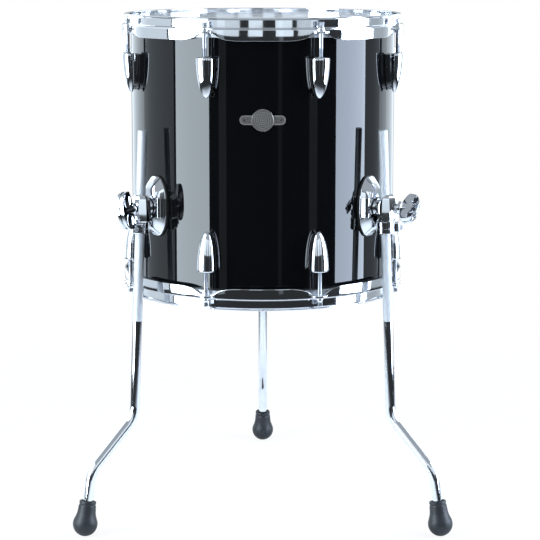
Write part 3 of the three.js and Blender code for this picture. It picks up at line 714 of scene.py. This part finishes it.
# How far each square head was left turned by the drum key
KEY_ROLLS = [4, 49, 30, 12, 65, 38, 4, 49]
THREAD_PITCH = 0.84
THREAD_ROOT = 2.35
THREAD_CREST = 2.72


def make_rod(roll):
    """Tension rod: square key head, round flange and washer over a threaded shank"""
    thread = []
    tip = LUG_END - 30
    z = tip + 1
    while z < LUG_END + 12:
        thread += [[THREAD_ROOT, z], [THREAD_CREST, z + THREAD_PITCH / 2]]
        z += THREAD_PITCH
    section = [[0, tip], [1.9, tip]] + thread + [[2.6, z + 1], [2.6, EAR_TOP], [0, EAR_TOP]]
    shank = turned("rod shank", section, SATIN, steps=20, angle=25)
    top = turned(
        "rod flange",
        [
            [2.7, EAR_TOP + 0.05],
            [4.9, EAR_TOP + 0.05],
            [5.0, EAR_TOP + 0.4],
            [5.0, EAR_TOP + 1.2],
            [4.8, EAR_TOP + 1.5],
            [4.1, EAR_TOP + 1.6],
            [4.2, EAR_TOP + 2.0],
            [4.2, EAR_TOP + 3.4],
            [3.9, EAR_TOP + 3.9],
            [3.0, EAR_TOP + 5.6],
            [2.6, EAR_TOP + 6.4],
            [0, EAR_TOP + 6.4],
        ],
        CHROME,
        steps=36,
    )
    rod = joined("tension rod", [shank, top, square_head(5.6, EAR_TOP + 8.5, 0.6)])
    return lay(rod, 0, ROD_CIRCLE, 0, roll=roll)


# ---- Badge and vent ----

BADGE_Z = SHELL_TOP - 119.6
# Half widths of the arms and of their pocket, and the middles of their round ends
ARM_HALF = 6.0
POCKET_HALF = 4.7
ARM_END = 23.35
# Levels out from the shell: the arms' face and pocket, and the seat of the disc
ARM_FACE = 1.4
ARM_POCKET = 0.8
DISC_SEAT = 1.1
# Levels on the disc itself
DISC_FACE = 0.8
DISC_GROOVE = 0.5


def shell_skin(piece, inner, outer):
    """Trims a piece to the skin between two distances from the shell"""
    height = SHELL_TOP - SHELL_BOTTOM
    for level, operation in ((outer, "INTERSECT"), (inner, "DIFFERENCE")):
        cut(piece, cylinder(SHELL_RADIUS + level, height, SHELL_BOTTOM, 360), operation)
    return piece


def shell_skin_inside(piece):
    """Takes the shell's own round out of the back of a piece"""
    cut(piece, cylinder(SHELL_RADIUS + 0.05, 300, SHELL_MIDDLE - 150, 360))
    return smooth(piece, 25)


def badge_arms(name, half, inner, outer):
    """The badge's two round-ended arms, between two distances from the shell"""
    outline = []
    for middle, start in ((ARM_END, -90), (-ARM_END, 90)):
        for k in range(17):
            turn = math.radians(start + 180 * k / 16)
            outline.append([middle + half * math.cos(turn), BADGE_Z + half * math.sin(turn)])
    outline.append(outline[0])
    arms = plate(name, outline, 12, NICKEL)
    arms.location.y = -170 * MM
    return shell_skin(settle(arms), inner, outer)


def make_badge():
    """Round badge with two pinned arms, unmarked but for its rings"""
    arms = badge_arms("badge arms", ARM_HALF, 0.05, ARM_FACE)
    cut(arms, badge_arms("arm pocket", POCKET_HALF, ARM_POCKET, 3))
    soften(arms, 0.3, 1)
    arms.data.materials.append(SMOKED)
    for face in arms.data.polygons:
        level = math.hypot(face.center.x, face.center.y) / MM - SHELL_RADIUS
        if face.normal.y < -0.8 and abs(level - ARM_POCKET) < 0.1:
            face.material_index = 1
    # The middle carries plain concentric rings: flat grooves filled with dark enamel
    section = [[0, DISC_FACE]]
    grooves = [(1.7 + 2.3 * k, 0.8) for k in range(5)] + [(12.6, 0.6)]
    for start, width in grooves:
        end = start + width
        section += [[start, DISC_FACE], [start + 0.1, DISC_GROOVE]]
        section += [[end - 0.1, DISC_GROOVE], [end, DISC_FACE]]
    section += [[13.92, DISC_FACE], [14.0, 0.72], [14.0, -3], [0, -3]]
    disc = turned("badge disc", section, NICKEL, steps=96, angle=25)
    disc.data.materials.append(ENAMEL)
    for face in disc.data.polygons:
        if abs(face.center.z / MM - DISC_GROOVE) < 0.02:
            face.material_index = 1
    lay(disc, 0, SHELL_RADIUS + DISC_SEAT, BADGE_Z, (0, 1, 0))
    pieces = [arms, shell_skin_inside(disc)]
    hollow = [[0, 0.1], [1.15, 0.1], [1.3, -0.2], [1.3, -0.8], [0, -0.8]]
    for x in (-23.5, 23.5):
        pin = turned("pin hole", hollow, GASKET, steps=24)
        out = math.sqrt((SHELL_RADIUS + 1.2) ** 2 - x * x)
        pieces.append(lay(pin, x, out, BADGE_Z, (x / SHELL_RADIUS, 1, 0)))
    return joined("badge", pieces)


def make_vent():
    """Eyelet of the vent hole, rolled over outside and inside the wall"""
    grommet = turned(
        "vent grommet",
        [
            [4.5, -12.0],
            [4.5, 1.2],
            [5.2, 2.0],
            [6.4, 2.2],
            [9.6, 1.7],
            [11.4, 1.0],
            [12.0, 0.2],
            [12.0, -0.9],
            [6.4, -0.9],
            [6.4, -8.6],
            [12.0, -8.6],
            [12.0, -9.4],
            [10.8, -10.4],
            [5.4, -11.6],
            [4.5, -12.0],
        ],
        CHROME,
        steps=64,
    )
    return lay(grommet, 0, SHELL_RADIUS - 0.2, SHELL_MIDDLE, (0, 1, 0))


# ---- Leg brackets ----

BLOCK_HALF_HEIGHT = 17.5
BLOCK_TOP = BRACKET_Z + BLOCK_HALF_HEIGHT
BLOCK_HALF = 13.5
# How far the block stands across and out from the leg's line, and its flat face from that line
BLOCK_SHIFT = (4.0, 2.5)
BLOCK_FACE_OUT = 16.9
# The level gap between the plate's two pillows: its half height, and how far out its floor is
PILLOW_GAP_HALF = 13.2
PILLOW_GAP_FLOOR = 183.2

# The wing screw's axis: its height, its dip and its turn about the leg
WING_Z = BRACKET_Z + 2
WING_TILT = math.radians(4)
WING_SIDE_ANGLE = 20
LEG_UP = Vector((0, math.sin(LEG_LEAN), math.cos(LEG_LEAN)))


def leg_out(z):
    """How far out the leg's middle line is at a height, beside the drum"""
    return LEG_CIRCLE + (BRACKET_Z - z) * math.tan(LEG_LEAN)


def along_leg(obj, z, turn=0.0):
    """Stands a piece made about +Z on the leg's line at a height, turned about it"""
    stand = Matrix.Rotation(-LEG_LEAN, 4, "X") @ Matrix.Rotation(math.radians(turn), 4, "Z")
    obj.matrix_world = Matrix.Translation((0, -leg_out(z) * MM, z * MM)) @ stand
    return settle(obj)


def about_leg(obj, angle):
    """Turns a laid piece about the leg's line"""
    here = Vector((0, -leg_out(BRACKET_Z) * MM, BRACKET_Z * MM))
    turn = Matrix.Rotation(math.radians(angle), 4, LEG_UP)
    obj.matrix_world = Matrix.Translation(here) @ turn @ Matrix.Translation(-here)
    return settle(obj)


def on_wing_axis(obj, roll=0.0):
    """Lays a piece made about +Z from the leg's middle line along the wing screw's axis"""
    direction = (0, math.cos(WING_TILT), -math.sin(WING_TILT))
    lay(obj, 0, leg_out(WING_Z), WING_Z, direction, roll)
    return about_leg(obj, WING_SIDE_ANGLE)


def bracket_plate(name, grow, levels, material):
    """The pillow-shaped plate against the shell: each level is (share of the size, distance out)"""
    width, height = 22, 39
    half = [[9.2, height], [18.9, 25.7], [width, 11.7]]
    half += [[x, -z] for x, z in reversed(half)]
    outline = mirrored([[x + grow * x / width, z + grow * z / height] for x, z in half])
    share, out = 1.0, SHELL_RADIUS - 3
    obj = drawn(name, [(x, -out, BRACKET_Z + z) for x, z in outline])
    bpy.ops.mesh.remove_doubles(threshold=WELD)
    bpy.ops.mesh.bevel(offset=5 * MM, segments=4, affect="VERTICES")
    bpy.ops.mesh.select_all(action="SELECT")
    bpy.ops.mesh.edge_face_add()
    for next_share, next_out in levels:
        extrude(0, -(next_out - out), 0)
        ratio = next_share / share
        middle = (0, -next_out * MM, BRACKET_Z * MM)
        bpy.ops.transform.resize(value=(ratio, 1, ratio), center_override=middle)
        share, out = next_share, next_out
    close_up(obj)
    obj.data.materials.append(material)
    shell_skin_inside(obj)
    return smooth(obj, 28)


def bracket_neck():
    """Upright-walled neck between the pillows, rounded over towards the block"""
    flare = [[21.2, 181.6], [20.9, 184.0], [20.3, 188.4], [19.5, 190.1]]
    flare += [[17.8, 191.3], [15.4, 191.8], [12.6, 191.9]]
    half_height = PILLOW_GAP_HALF - 0.3
    neck = plate("bracket neck", mirrored(flare), 2 * half_height, CHROME, 0.5)
    # Drawn standing up: its outline's second number becomes the distance out
    neck.rotation_euler.x = math.radians(90)
    settle(neck)
    neck.location.z = (BRACKET_Z + half_height) * MM
    return smooth(settle(neck), 40)


def make_bracket():
    """Leg bracket: plate, gasket, neck, joint ring, clamp block and two screws"""
    base = bracket_plate(
        "bracket plate",
        0,
        [
            (1.0, 180.4),
            (0.98, 181.4),
            (0.95, 182.2),
            (0.88, 185.0),
            (0.79, 188.2),
            (0.68, 191.0),
            (0.6, 192.4),
            (0.5, 193.0),
        ],
        CHROME,
    )
    # The dome is cut away level above and below the boss, which leaves two pillows
    gap = (80, 40, 2 * PILLOW_GAP_HALF)
    cut(base, box(gap, (0, PILLOW_GAP_FLOOR + 20, BRACKET_Z)))
    soften(base, 0.9, 3, 50)
    smooth(base, 28)
    gasket = bracket_plate("bracket gasket", 1.2, [(1.0, 179.2)], GASKET)
    neck = bracket_neck()
    ring = [[0, 191.95], [12.2, 191.95], [12.2, 192.7], [0, 192.7]]
    joint = turned("bracket joint ring", ring, GASKET, steps=64)
    lay(joint, 0, 0, BRACKET_Z, (0, 1, 0))
    # The clamp block: eight-sided about the leg, narrowing upwards
    corner = BLOCK_HALF / math.cos(math.pi / 8)
    levels = [
        (-BLOCK_HALF_HEIGHT, corner - 1.4),
        (-15.8, corner + 0.3),
        (-8, corner - 0.4),
        (2, corner - 1.5),
        (11, corner - 2.8),
        (14.2, corner - 3.8),
        (BLOCK_HALF_HEIGHT, corner - 6.4),
    ]
    rings = [(0, 0, z, radius, radius) for z, radius in levels]
    block = lofted("clamp block", rings, CHROME, sides=8)
    along_leg(block, BRACKET_Z, 22.5 + WING_SIDE_ANGLE)
    across, outward = BLOCK_SHIFT
    block.location = (across * MM, -outward * MM, 0)
    settle(block)
    # The round spigot that carries the block on the bracket's neck
    cut(block, lay(cylinder(11.4, 10, 192.3, 64), 0, 0, BRACKET_Z, (0, 1, 0)), "UNION")
    # Flat face under the wing screw, the leg's bore and the wing screw's bore
    cut(block, on_wing_axis(cylinder(40, 30, BLOCK_FACE_OUT)))
    cut(block, along_leg(cylinder(LEG_RADIUS + 0.25, 80, -40), BRACKET_Z))
    cut(block, on_wing_axis(cylinder(5.2, 30)))
    soften(block, 0.9, 3, 30)
    smooth(block, 30)
    screws = [inside_screw(BRACKET_Z + side * 23, 13) for side in (-1, 1)]
    return joined("leg bracket", [base, gasket, neck, joint, block] + screws)


WING_HALF = 24.5
WING_CROWN = 45.0
WING_SHOULDER = 31.0
# How far each wing screw was left turned
WING_ROLLS = {"left": 8, "right": -56, "rear": 20}


def make_wing(roll):
    """Half-moon thumb screw: a thick rounded fan, hollowed either side of its hub"""
    edge = [[-5.0, 22.4], [-12, 23.4], [-19, 25.0], [-23.2, 26.4], [-24.4, 27.6]]
    edge.append([-WING_HALF, 29.6])
    crown = []
    for k in range(1, 24):
        turn = math.pi * k / 24
        x = math.copysign(abs(math.cos(turn)) ** 0.9, -math.cos(turn))
        rise = (WING_CROWN - WING_SHOULDER) * math.sin(turn) ** 0.9
        crown.append([WING_HALF * x, WING_SHOULDER + rise])
    outline = edge + crown + [[-x, z] for x, z in reversed(edge)] + [edge[0]]
    # Two cheeks stand proud of the middle, which leaves a shallow groove round the rim
    inner = [[x * 0.95, 30 + (z - 30) * (0.9 if z > 30 else 1.0)] for x, z in outline]
    fan = plate("wing fan", inner, 10.0, CHROME)
    fan.location.y = 5.0 * MM
    settle(fan)
    for front in (5.0, -2.0):
        cheek = plate("wing cheek", outline, 3.0, CHROME)
        cheek.location.y = front * MM
        cut(fan, settle(cheek), "UNION")
    # Four shallow dishes, one in each face on each side of the hub
    for x in (-13.0, 13.0):
        for y in (-9.3, 9.3):
            bpy.ops.object.select_all(action="DESELECT")
            bpy.ops.mesh.primitive_uv_sphere_add(segments=40, ring_count=24, radius=1)
            scoop = bpy.context.object
            scoop.scale = (14.0 * MM, 6.0 * MM, 11.6 * MM)
            scoop.location = (x * MM, y * MM, 33.6 * MM)
            cut(fan, settle(scoop))
    soften(fan, 0.9, 3, 50)
    smooth(fan, 45)
    hub = turned(
        "wing hub",
        [
            [0, 12.4],
            [3.4, 12.4],
            [4.0, 13.0],
            [4.0, 17.6],
            [8.2, 17.7],
            [8.9, 18.4],
            [8.9, 21.6],
            [8.2, 22.8],
            [7.2, 23.6],
            [6.6, 27.0],
            [6.0, 32.0],
            [5.2, 38.0],
            [4.4, 42.0],
            [0, 43.5],
        ],
        CHROME,
        steps=56,
    )
    return on_wing_axis(joined("wing screw", [fan, hub]), 90 + roll)


# ---- Memory locks, legs and feet ----

LOCK_MIDDLE = 398.9
LOCK_TURN = 40


def make_lock():
    """Memory lock: a split collar with an ear for its key screw"""
    collar = turned(
        "lock collar",
        [
            [6.6, -7.9],
            [11.7, -7.9],
            [12.5, -7.1],
            [12.5, -1.6],
            [12.1, -1.2],
            [12.1, 1.2],
            [12.5, 1.6],
            [12.5, 7.1],
            [11.7, 7.9],
            [6.6, 7.9],
            [6.6, -7.9],
        ],
        CHROME,
        steps=64,
    )
    ear = box((13, 12, 13.4), (0, 12, 0))
    ear.data.materials.append(CHROME)
    soften(ear, 1.8, 4)
    cut(collar, ear, "UNION")
    # The split on the side away from the ear, then the leg's bore
    cut(collar, box((2, 14, 24), (0, -11, 0)))
    cut(collar, cylinder(LEG_RADIUS + 0.25, 30, -15, 40))
    smooth(collar, 30)
    collar.name = collar.data.name = "memory lock"
    return along_leg(collar, LOCK_MIDDLE, LOCK_TURN)


def make_lock_key():
    """Small square-headed screw that tightens the lock"""
    section = [[0, 6.8], [1.8, 6.8], [1.8, 18.1], [3.1, 18.2]]
    section += [[3.2, 18.5], [3.2, 19.0], [2.8, 19.4], [0, 19.4]]
    screw = turned("lock key shank", section, SATIN, steps=32)
    key = joined("lock key screw", [screw, square_head(4.4, 20.2, 0.5)])
    way = Matrix.Rotation(math.radians(LOCK_TURN), 3, LEG_UP) @ Vector((0, -1, 0))
    return lay(key, 0, leg_out(LOCK_MIDDLE), LOCK_MIDDLE, (way.x, -way.y, way.z))


# The leg leans by these above, between and below its two bends
BEND_RADIUS = 36.0
LEANS = [LEG_LEAN, math.radians(47.9), math.radians(9.5)]
BEND_HEIGHTS = [146.8, 84.0]
LEG_TOP_Z = BLOCK_TOP + 83.6
LEG_END_Z = 12.0
LEG_CHAMFER = 0.8
# The knurl ends below the drum, at the height where the rod turns to bright chrome
KNURL_END_Z = 275
# The ball of the rubber foot
BALL_Z = 15.4
BALL_RADIUS = 16.2


def leg_corners():
    """(out, z) of the leg's two bends and of the middle of its foot's ball"""
    upper = (leg_out(BEND_HEIGHTS[0]), BEND_HEIGHTS[0])
    lower = (upper[0] + (upper[1] - BEND_HEIGHTS[1]) * math.tan(LEANS[1]), BEND_HEIGHTS[1])
    ball = (lower[0] + (lower[1] - BALL_Z) * math.tan(LEANS[2]), BALL_Z)
    return upper, lower, ball


def make_leg():
    """The rod as one disc drawn down the leg's line and round its two bends"""
    upper, lower, _ = leg_corners()
    place = [leg_out(LEG_TOP_Z), LEG_TOP_Z]
    bpy.ops.object.select_all(action="DESELECT")
    bpy.ops.mesh.primitive_circle_add(
        vertices=32,
        radius=(LEG_RADIUS - LEG_CHAMFER) * MM,
        fill_type="NGON",
        location=(0, -place[0] * MM, place[1] * MM),
        rotation=(-LEG_LEAN, 0, 0),
    )
    leg = settle(bpy.context.object)
    leg.name = leg.data.name = "leg"
    begin(leg)

    def run(lean, distance):
        extrude(0, -math.sin(lean) * distance, -math.cos(lean) * distance)
        place[0] += math.sin(lean) * distance
        place[1] -= math.cos(lean) * distance

    run(LEANS[0], LEG_CHAMFER)
    grow = [LEG_RADIUS / (LEG_RADIUS - LEG_CHAMFER)] * 3
    middle = (0, -place[0] * MM, place[1] * MM)
    bpy.ops.transform.resize(value=grow, center_override=middle)
    run(LEANS[0], (place[1] - KNURL_END_Z) / math.cos(LEANS[0]))
    for corner, before, after in ((upper, LEANS[0], LEANS[1]), (lower, LEANS[1], LEANS[2])):
        reach = BEND_RADIUS * math.tan(abs(after - before) / 2)
        run(before, (place[1] - corner[1]) / math.cos(before) - reach)
        side = 1 if after > before else -1
        centre_out = place[0] + side * BEND_RADIUS * math.cos(before)
        centre_z = place[1] + side * BEND_RADIUS * math.sin(before)
        bpy.ops.mesh.spin(
            steps=14,
            angle=abs(after - before),
            center=(0, -centre_out * MM, centre_z * MM),
            axis=(side, 0, 0),
        )
        place[0] = corner[0] + reach * math.sin(after)
        place[1] = corner[1] - reach * math.cos(after)
    run(LEANS[2], (place[1] - LEG_END_Z) / math.cos(LEANS[2]))
    close_up(leg)
    leg.data.materials.append(CHROME)
    leg.data.materials.append(KNURL)
    for face in leg.data.polygons:
        if face.center.z > KNURL_END_Z * MM:
            face.material_index = 1
    return smooth(leg, 40)


def make_foot():
    """Rubber foot: a ball under a flared neck, its top dished round the rod, flat on the floor"""
    _, _, ball = leg_corners()
    profile = [[0, -BALL_RADIUS]]
    for k in range(1, 20):
        turn = math.radians(6 * k)
        profile.append([BALL_RADIUS * math.sin(turn), -BALL_RADIUS * math.cos(turn)])
    profile += [
        [14.0, 8.6],
        [12.9, 11.6],
        [12.1, 15.0],
        [11.7, 19.0],
        [11.4, 23.4],
        [11.2, 24.4],
        [10.6, 25.1],
        [10.4, 25.8],
        [10.6, 26.5],
        [11.0, 27.2],
        [11.0, 29.4],
        [10.6, 30.3],
        [9.9, 30.6],
        [9.1, 30.3],
        [8.2, 29.2],
        [7.2, 28.5],
        [6.5, 28.2],
        [6.5, 4],
        [0, 4],
    ]
    foot = turned("rubber foot", profile, RUBBER, steps=56, angle=28)
    lean = LEANS[2]
    lay(foot, 0, ball[0], ball[1], (0, -math.sin(lean), math.cos(lean)))
    begin(foot)
    bpy.ops.mesh.bisect(
        plane_co=(0, 0, 0), plane_no=(0, 0, 1), clear_inner=True, use_fill=True
    )
    close_up(foot)
    return smooth(foot, 28)


# ---- The drum put together ----

belongs(make_shell(), "root", "black_lacquer", "shell")

film, flesh = make_head()
hoop = make_hoop()
lug = make_lug()
rods = [make_rod(roll) for roll in KEY_ROLLS]
for end, over in (("batter", False), ("resonant", True)):
    belongs(at_station(film, 0, end + "_film", over), "root", "clear_film", end + "_head")
    belongs(at_station(flesh, 0, end + "_flesh_ring", over), "root", "satin_steel")
    belongs(at_station(hoop, 0, end + "_rolled_hoop", over), "root", "chrome", end + "_hoop")
    for k, (angle, rod) in enumerate(zip(ROD_ANGLES, rods), 1):
        placed = at_station(lug, angle, f"{end}_bullet_lug_{k}", over)
        belongs(placed, "root", "chrome", f"{end}_lug_{k}")
        placed = at_station(rod, angle, f"{end}_key_rod_{k}", over)
        rod_name = f"{end}_tension_rod_{k}"
        belongs(placed, rod_name, "chrome", rod_name)
hide_source(film, flesh, hoop, lug, *rods)

badge = make_badge()
belongs(at_station(badge, 0, "round_badge"), "root", "nickel", "badge")
vent = make_vent()
belongs(at_station(vent, VENT_ANGLE, "vent_eyelet"), "root", "chrome", "vent_grommet")
hide_source(badge, vent)

bracket = make_bracket()
lock = make_lock()
lock_key = make_lock_key()
leg = make_leg()
foot = make_foot()
for side, angle in LEGS.items():
    wing = make_wing(WING_ROLLS[side])
    for piece, word, body, slot, solid in (
        (bracket, "cast_bracket", "root", "chrome", "leg_bracket"),
        (wing, "thumb_screw", side + "_wing", "chrome", "wing_screw"),
        (lock, "split_lock", side + "_lock", "chrome", "memory_lock"),
        (lock_key, "drum_key_screw", side + "_key", "satin_steel", "lock_key_screw"),
        (leg, "bent_rod", side + "_stand", "chrome", "leg"),
        (foot, "bell_foot", side + "_stand", "rubber", "rubber_foot"),
    ):
        placed = at_station(piece, angle, f"{side}_{word}")
        belongs(placed, body, slot, f"{side}_{solid}")
    # The clamp shoe is seen as its CAD solid
    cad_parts[side + "_clamp_shoe"].material_slots[0].material = SATIN
    hide_source(wing)
hide_source(bracket, lock, lock_key, leg, foot)


# ---- Floor, light and camera ----


def studio_world():
    """White behind the drum and dim in front, so that the lacquer stays black between the panels"""
    world = bpy.data.worlds.new("studio")
    bpy.context.scene.world = world
    world.use_nodes = True
    tree = world.node_tree
    tree.nodes.clear()
    way = node(tree, "TexCoord").outputs["Generated"]
    parts = node(tree, "SeparateXYZ", {"Vector": way})
    soft = {"interpolation_type": "SMOOTHSTEP"}
    behind = spread(tree, parts.outputs["Y"], 0.35, 0.75, 0.04, 0.66, **soft)
    above = spread(tree, parts.outputs["Z"], 0.02, 0.6, 0.04, 0.52, **soft)
    both = node(tree, "Math", {0: behind, 1: above}, operation="MAXIMUM").outputs["Value"]
    # The camera itself sees plain white
    seen = node(tree, "LightPath").outputs["Is Camera Ray"]
    strength = node(tree, "Math", {0: both, 1: seen}, operation="MAXIMUM").outputs["Value"]
    tint = between(tree, seen, "e4eef7", "ffffff")
    glow = node(tree, "Background", {"Color": tint, "Strength": strength})
    out = node(tree, "OutputWorld")
    tree.links.new(glow.outputs["Background"], out.inputs["Surface"])


def studio_floor():
    """Round white floor; seen straight on it is nearly white by itself and still takes shadows"""
    bpy.ops.object.select_all(action="DESELECT")
    bpy.ops.mesh.primitive_circle_add(
        vertices=128, radius=1.6, fill_type="NGON", location=(0, 0, -0.0004)
    )
    floor = bpy.context.object
    floor.name = "white floor"
    material, tree, shader = finish("white sweep", "e6e6e6", 0.9)
    glow = node(tree, "Emission", {"Color": paint("ffffff"), "Strength": 1.0})
    seen = node(tree, "LightPath").outputs["Is Camera Ray"]
    share = node(tree, "Math", {0: seen, 1: 0.86}, operation="MULTIPLY")
    inputs = {0: share.outputs["Value"], 1: shader.outputs["BSDF"], 2: glow.outputs["Emission"]}
    lit = node(tree, "MixShader", inputs).outputs["Shader"]
    # It fades away towards its rim, so that no edge shows against the white behind
    away = node(tree, "VectorMath", {0: object_place(tree)}, operation="LENGTH")
    fade = spread(tree, away.outputs["Value"], 0.4, 1.2, interpolation_type="SMOOTHSTEP")
    gone = node(tree, "BsdfTransparent").outputs["BSDF"]
    faded = node(tree, "MixShader", {0: fade, 1: lit, 2: gone}).outputs["Shader"]
    tree.links.new(faded, tree.nodes["Material Output"].inputs["Surface"])
    floor.data.materials.append(material)


PALE_BLUE = (0.8, 0.91, 1.0)
BLUER = (0.7, 0.82, 1.0)


def light_panel(name, azimuth, distance, size, low, level, colour=PALE_BLUE):
    """A soft upright panel facing the drum; azimuth 0 is the front, level its brightness"""
    turn = math.radians(azimuth)
    width, height = size
    light = bpy.data.lights.new(name, "AREA")
    light.shape = "RECTANGLE"
    light.size = width
    light.size_y = height
    light.energy = level * math.pi * width * height
    light.color = colour
    panel = bpy.data.objects.new(name, light)
    bpy.context.collection.objects.link(panel)
    place = Vector((distance * math.sin(turn), -distance * math.cos(turn), low + height / 2))
    panel.location = place + DRUM_AXIS
    facing = Vector((-math.sin(turn), math.cos(turn), 0))
    panel.rotation_euler = facing.to_track_quat("-Z", "Y").to_euler()
    panel.visible_camera = False


studio_world()
studio_floor()
LOW = 0.02
light_panel("left panel", -60, 1.4, (0.8, 1.6), LOW, 9.8)
light_panel("right panel", 78, 1.4, (0.8, 1.6), LOW, 11.0, BLUER)
light_panel("left dim side panel", -99, 1.5, (1.12, 1.6), LOW, 0.85)
light_panel("right dim side panel", 104, 1.5, (0.66, 1.6), LOW, 0.5)
light_panel("right grey side panel", 123, 1.6, (0.36, 1.6), LOW, 1.2)
light_panel("left back panel", -139, 1.6, (1.1, 1.6), LOW, 1.7)
light_panel("right back panel", 145, 1.6, (0.86, 1.6), LOW, 1.6)
# Panels above the lacquer's view of the front, which only the chrome picks up
HIGH = 0.57
light_panel("first high front panel", -31, 1.9, (0.88, 0.9), HIGH, 0.9)
light_panel("second high front panel", -5.5, 1.9, (0.36, 0.9), HIGH, 1.1)
light_panel("third high front panel", 16.5, 1.9, (0.44, 0.9), HIGH, 1.1)
light_panel("fourth high front panel", 35.5, 1.9, (0.57, 0.9), HIGH, 0.8)
# Narrow dim strips in front, for lines in the chrome that stay faint in the lacquer
light_panel("left front strip", -33, 1.8, (0.2, 1.2), LOW, 0.24)
light_panel("right front strip", 42, 1.8, (0.22, 1.2), LOW, 0.22)
light_panel("middle front strip", 14, 1.8, (0.1, 1.2), LOW, 0.11)

# The camera stands in front at head height, as the photograph's perspective gives it
CAMERA_DISTANCE = 2.577
CAMERA_HEIGHT = 0.7674
CAMERA_DIP = 0.172
camera_data = bpy.data.cameras.new("photo camera")
camera_data.sensor_width = 36
camera_data.lens = 126.39
camera_data.shift_x = 0.01346
camera = bpy.data.objects.new("photo camera", camera_data)
bpy.context.collection.objects.link(camera)
camera.location = DRUM_AXIS + Vector((0, -CAMERA_DISTANCE, CAMERA_HEIGHT))
camera.rotation_euler = (math.pi / 2 - CAMERA_DIP, 0, 0)
bpy.context.scene.camera = camera
bpy.context.scene.view_settings.view_transform = "Standard"
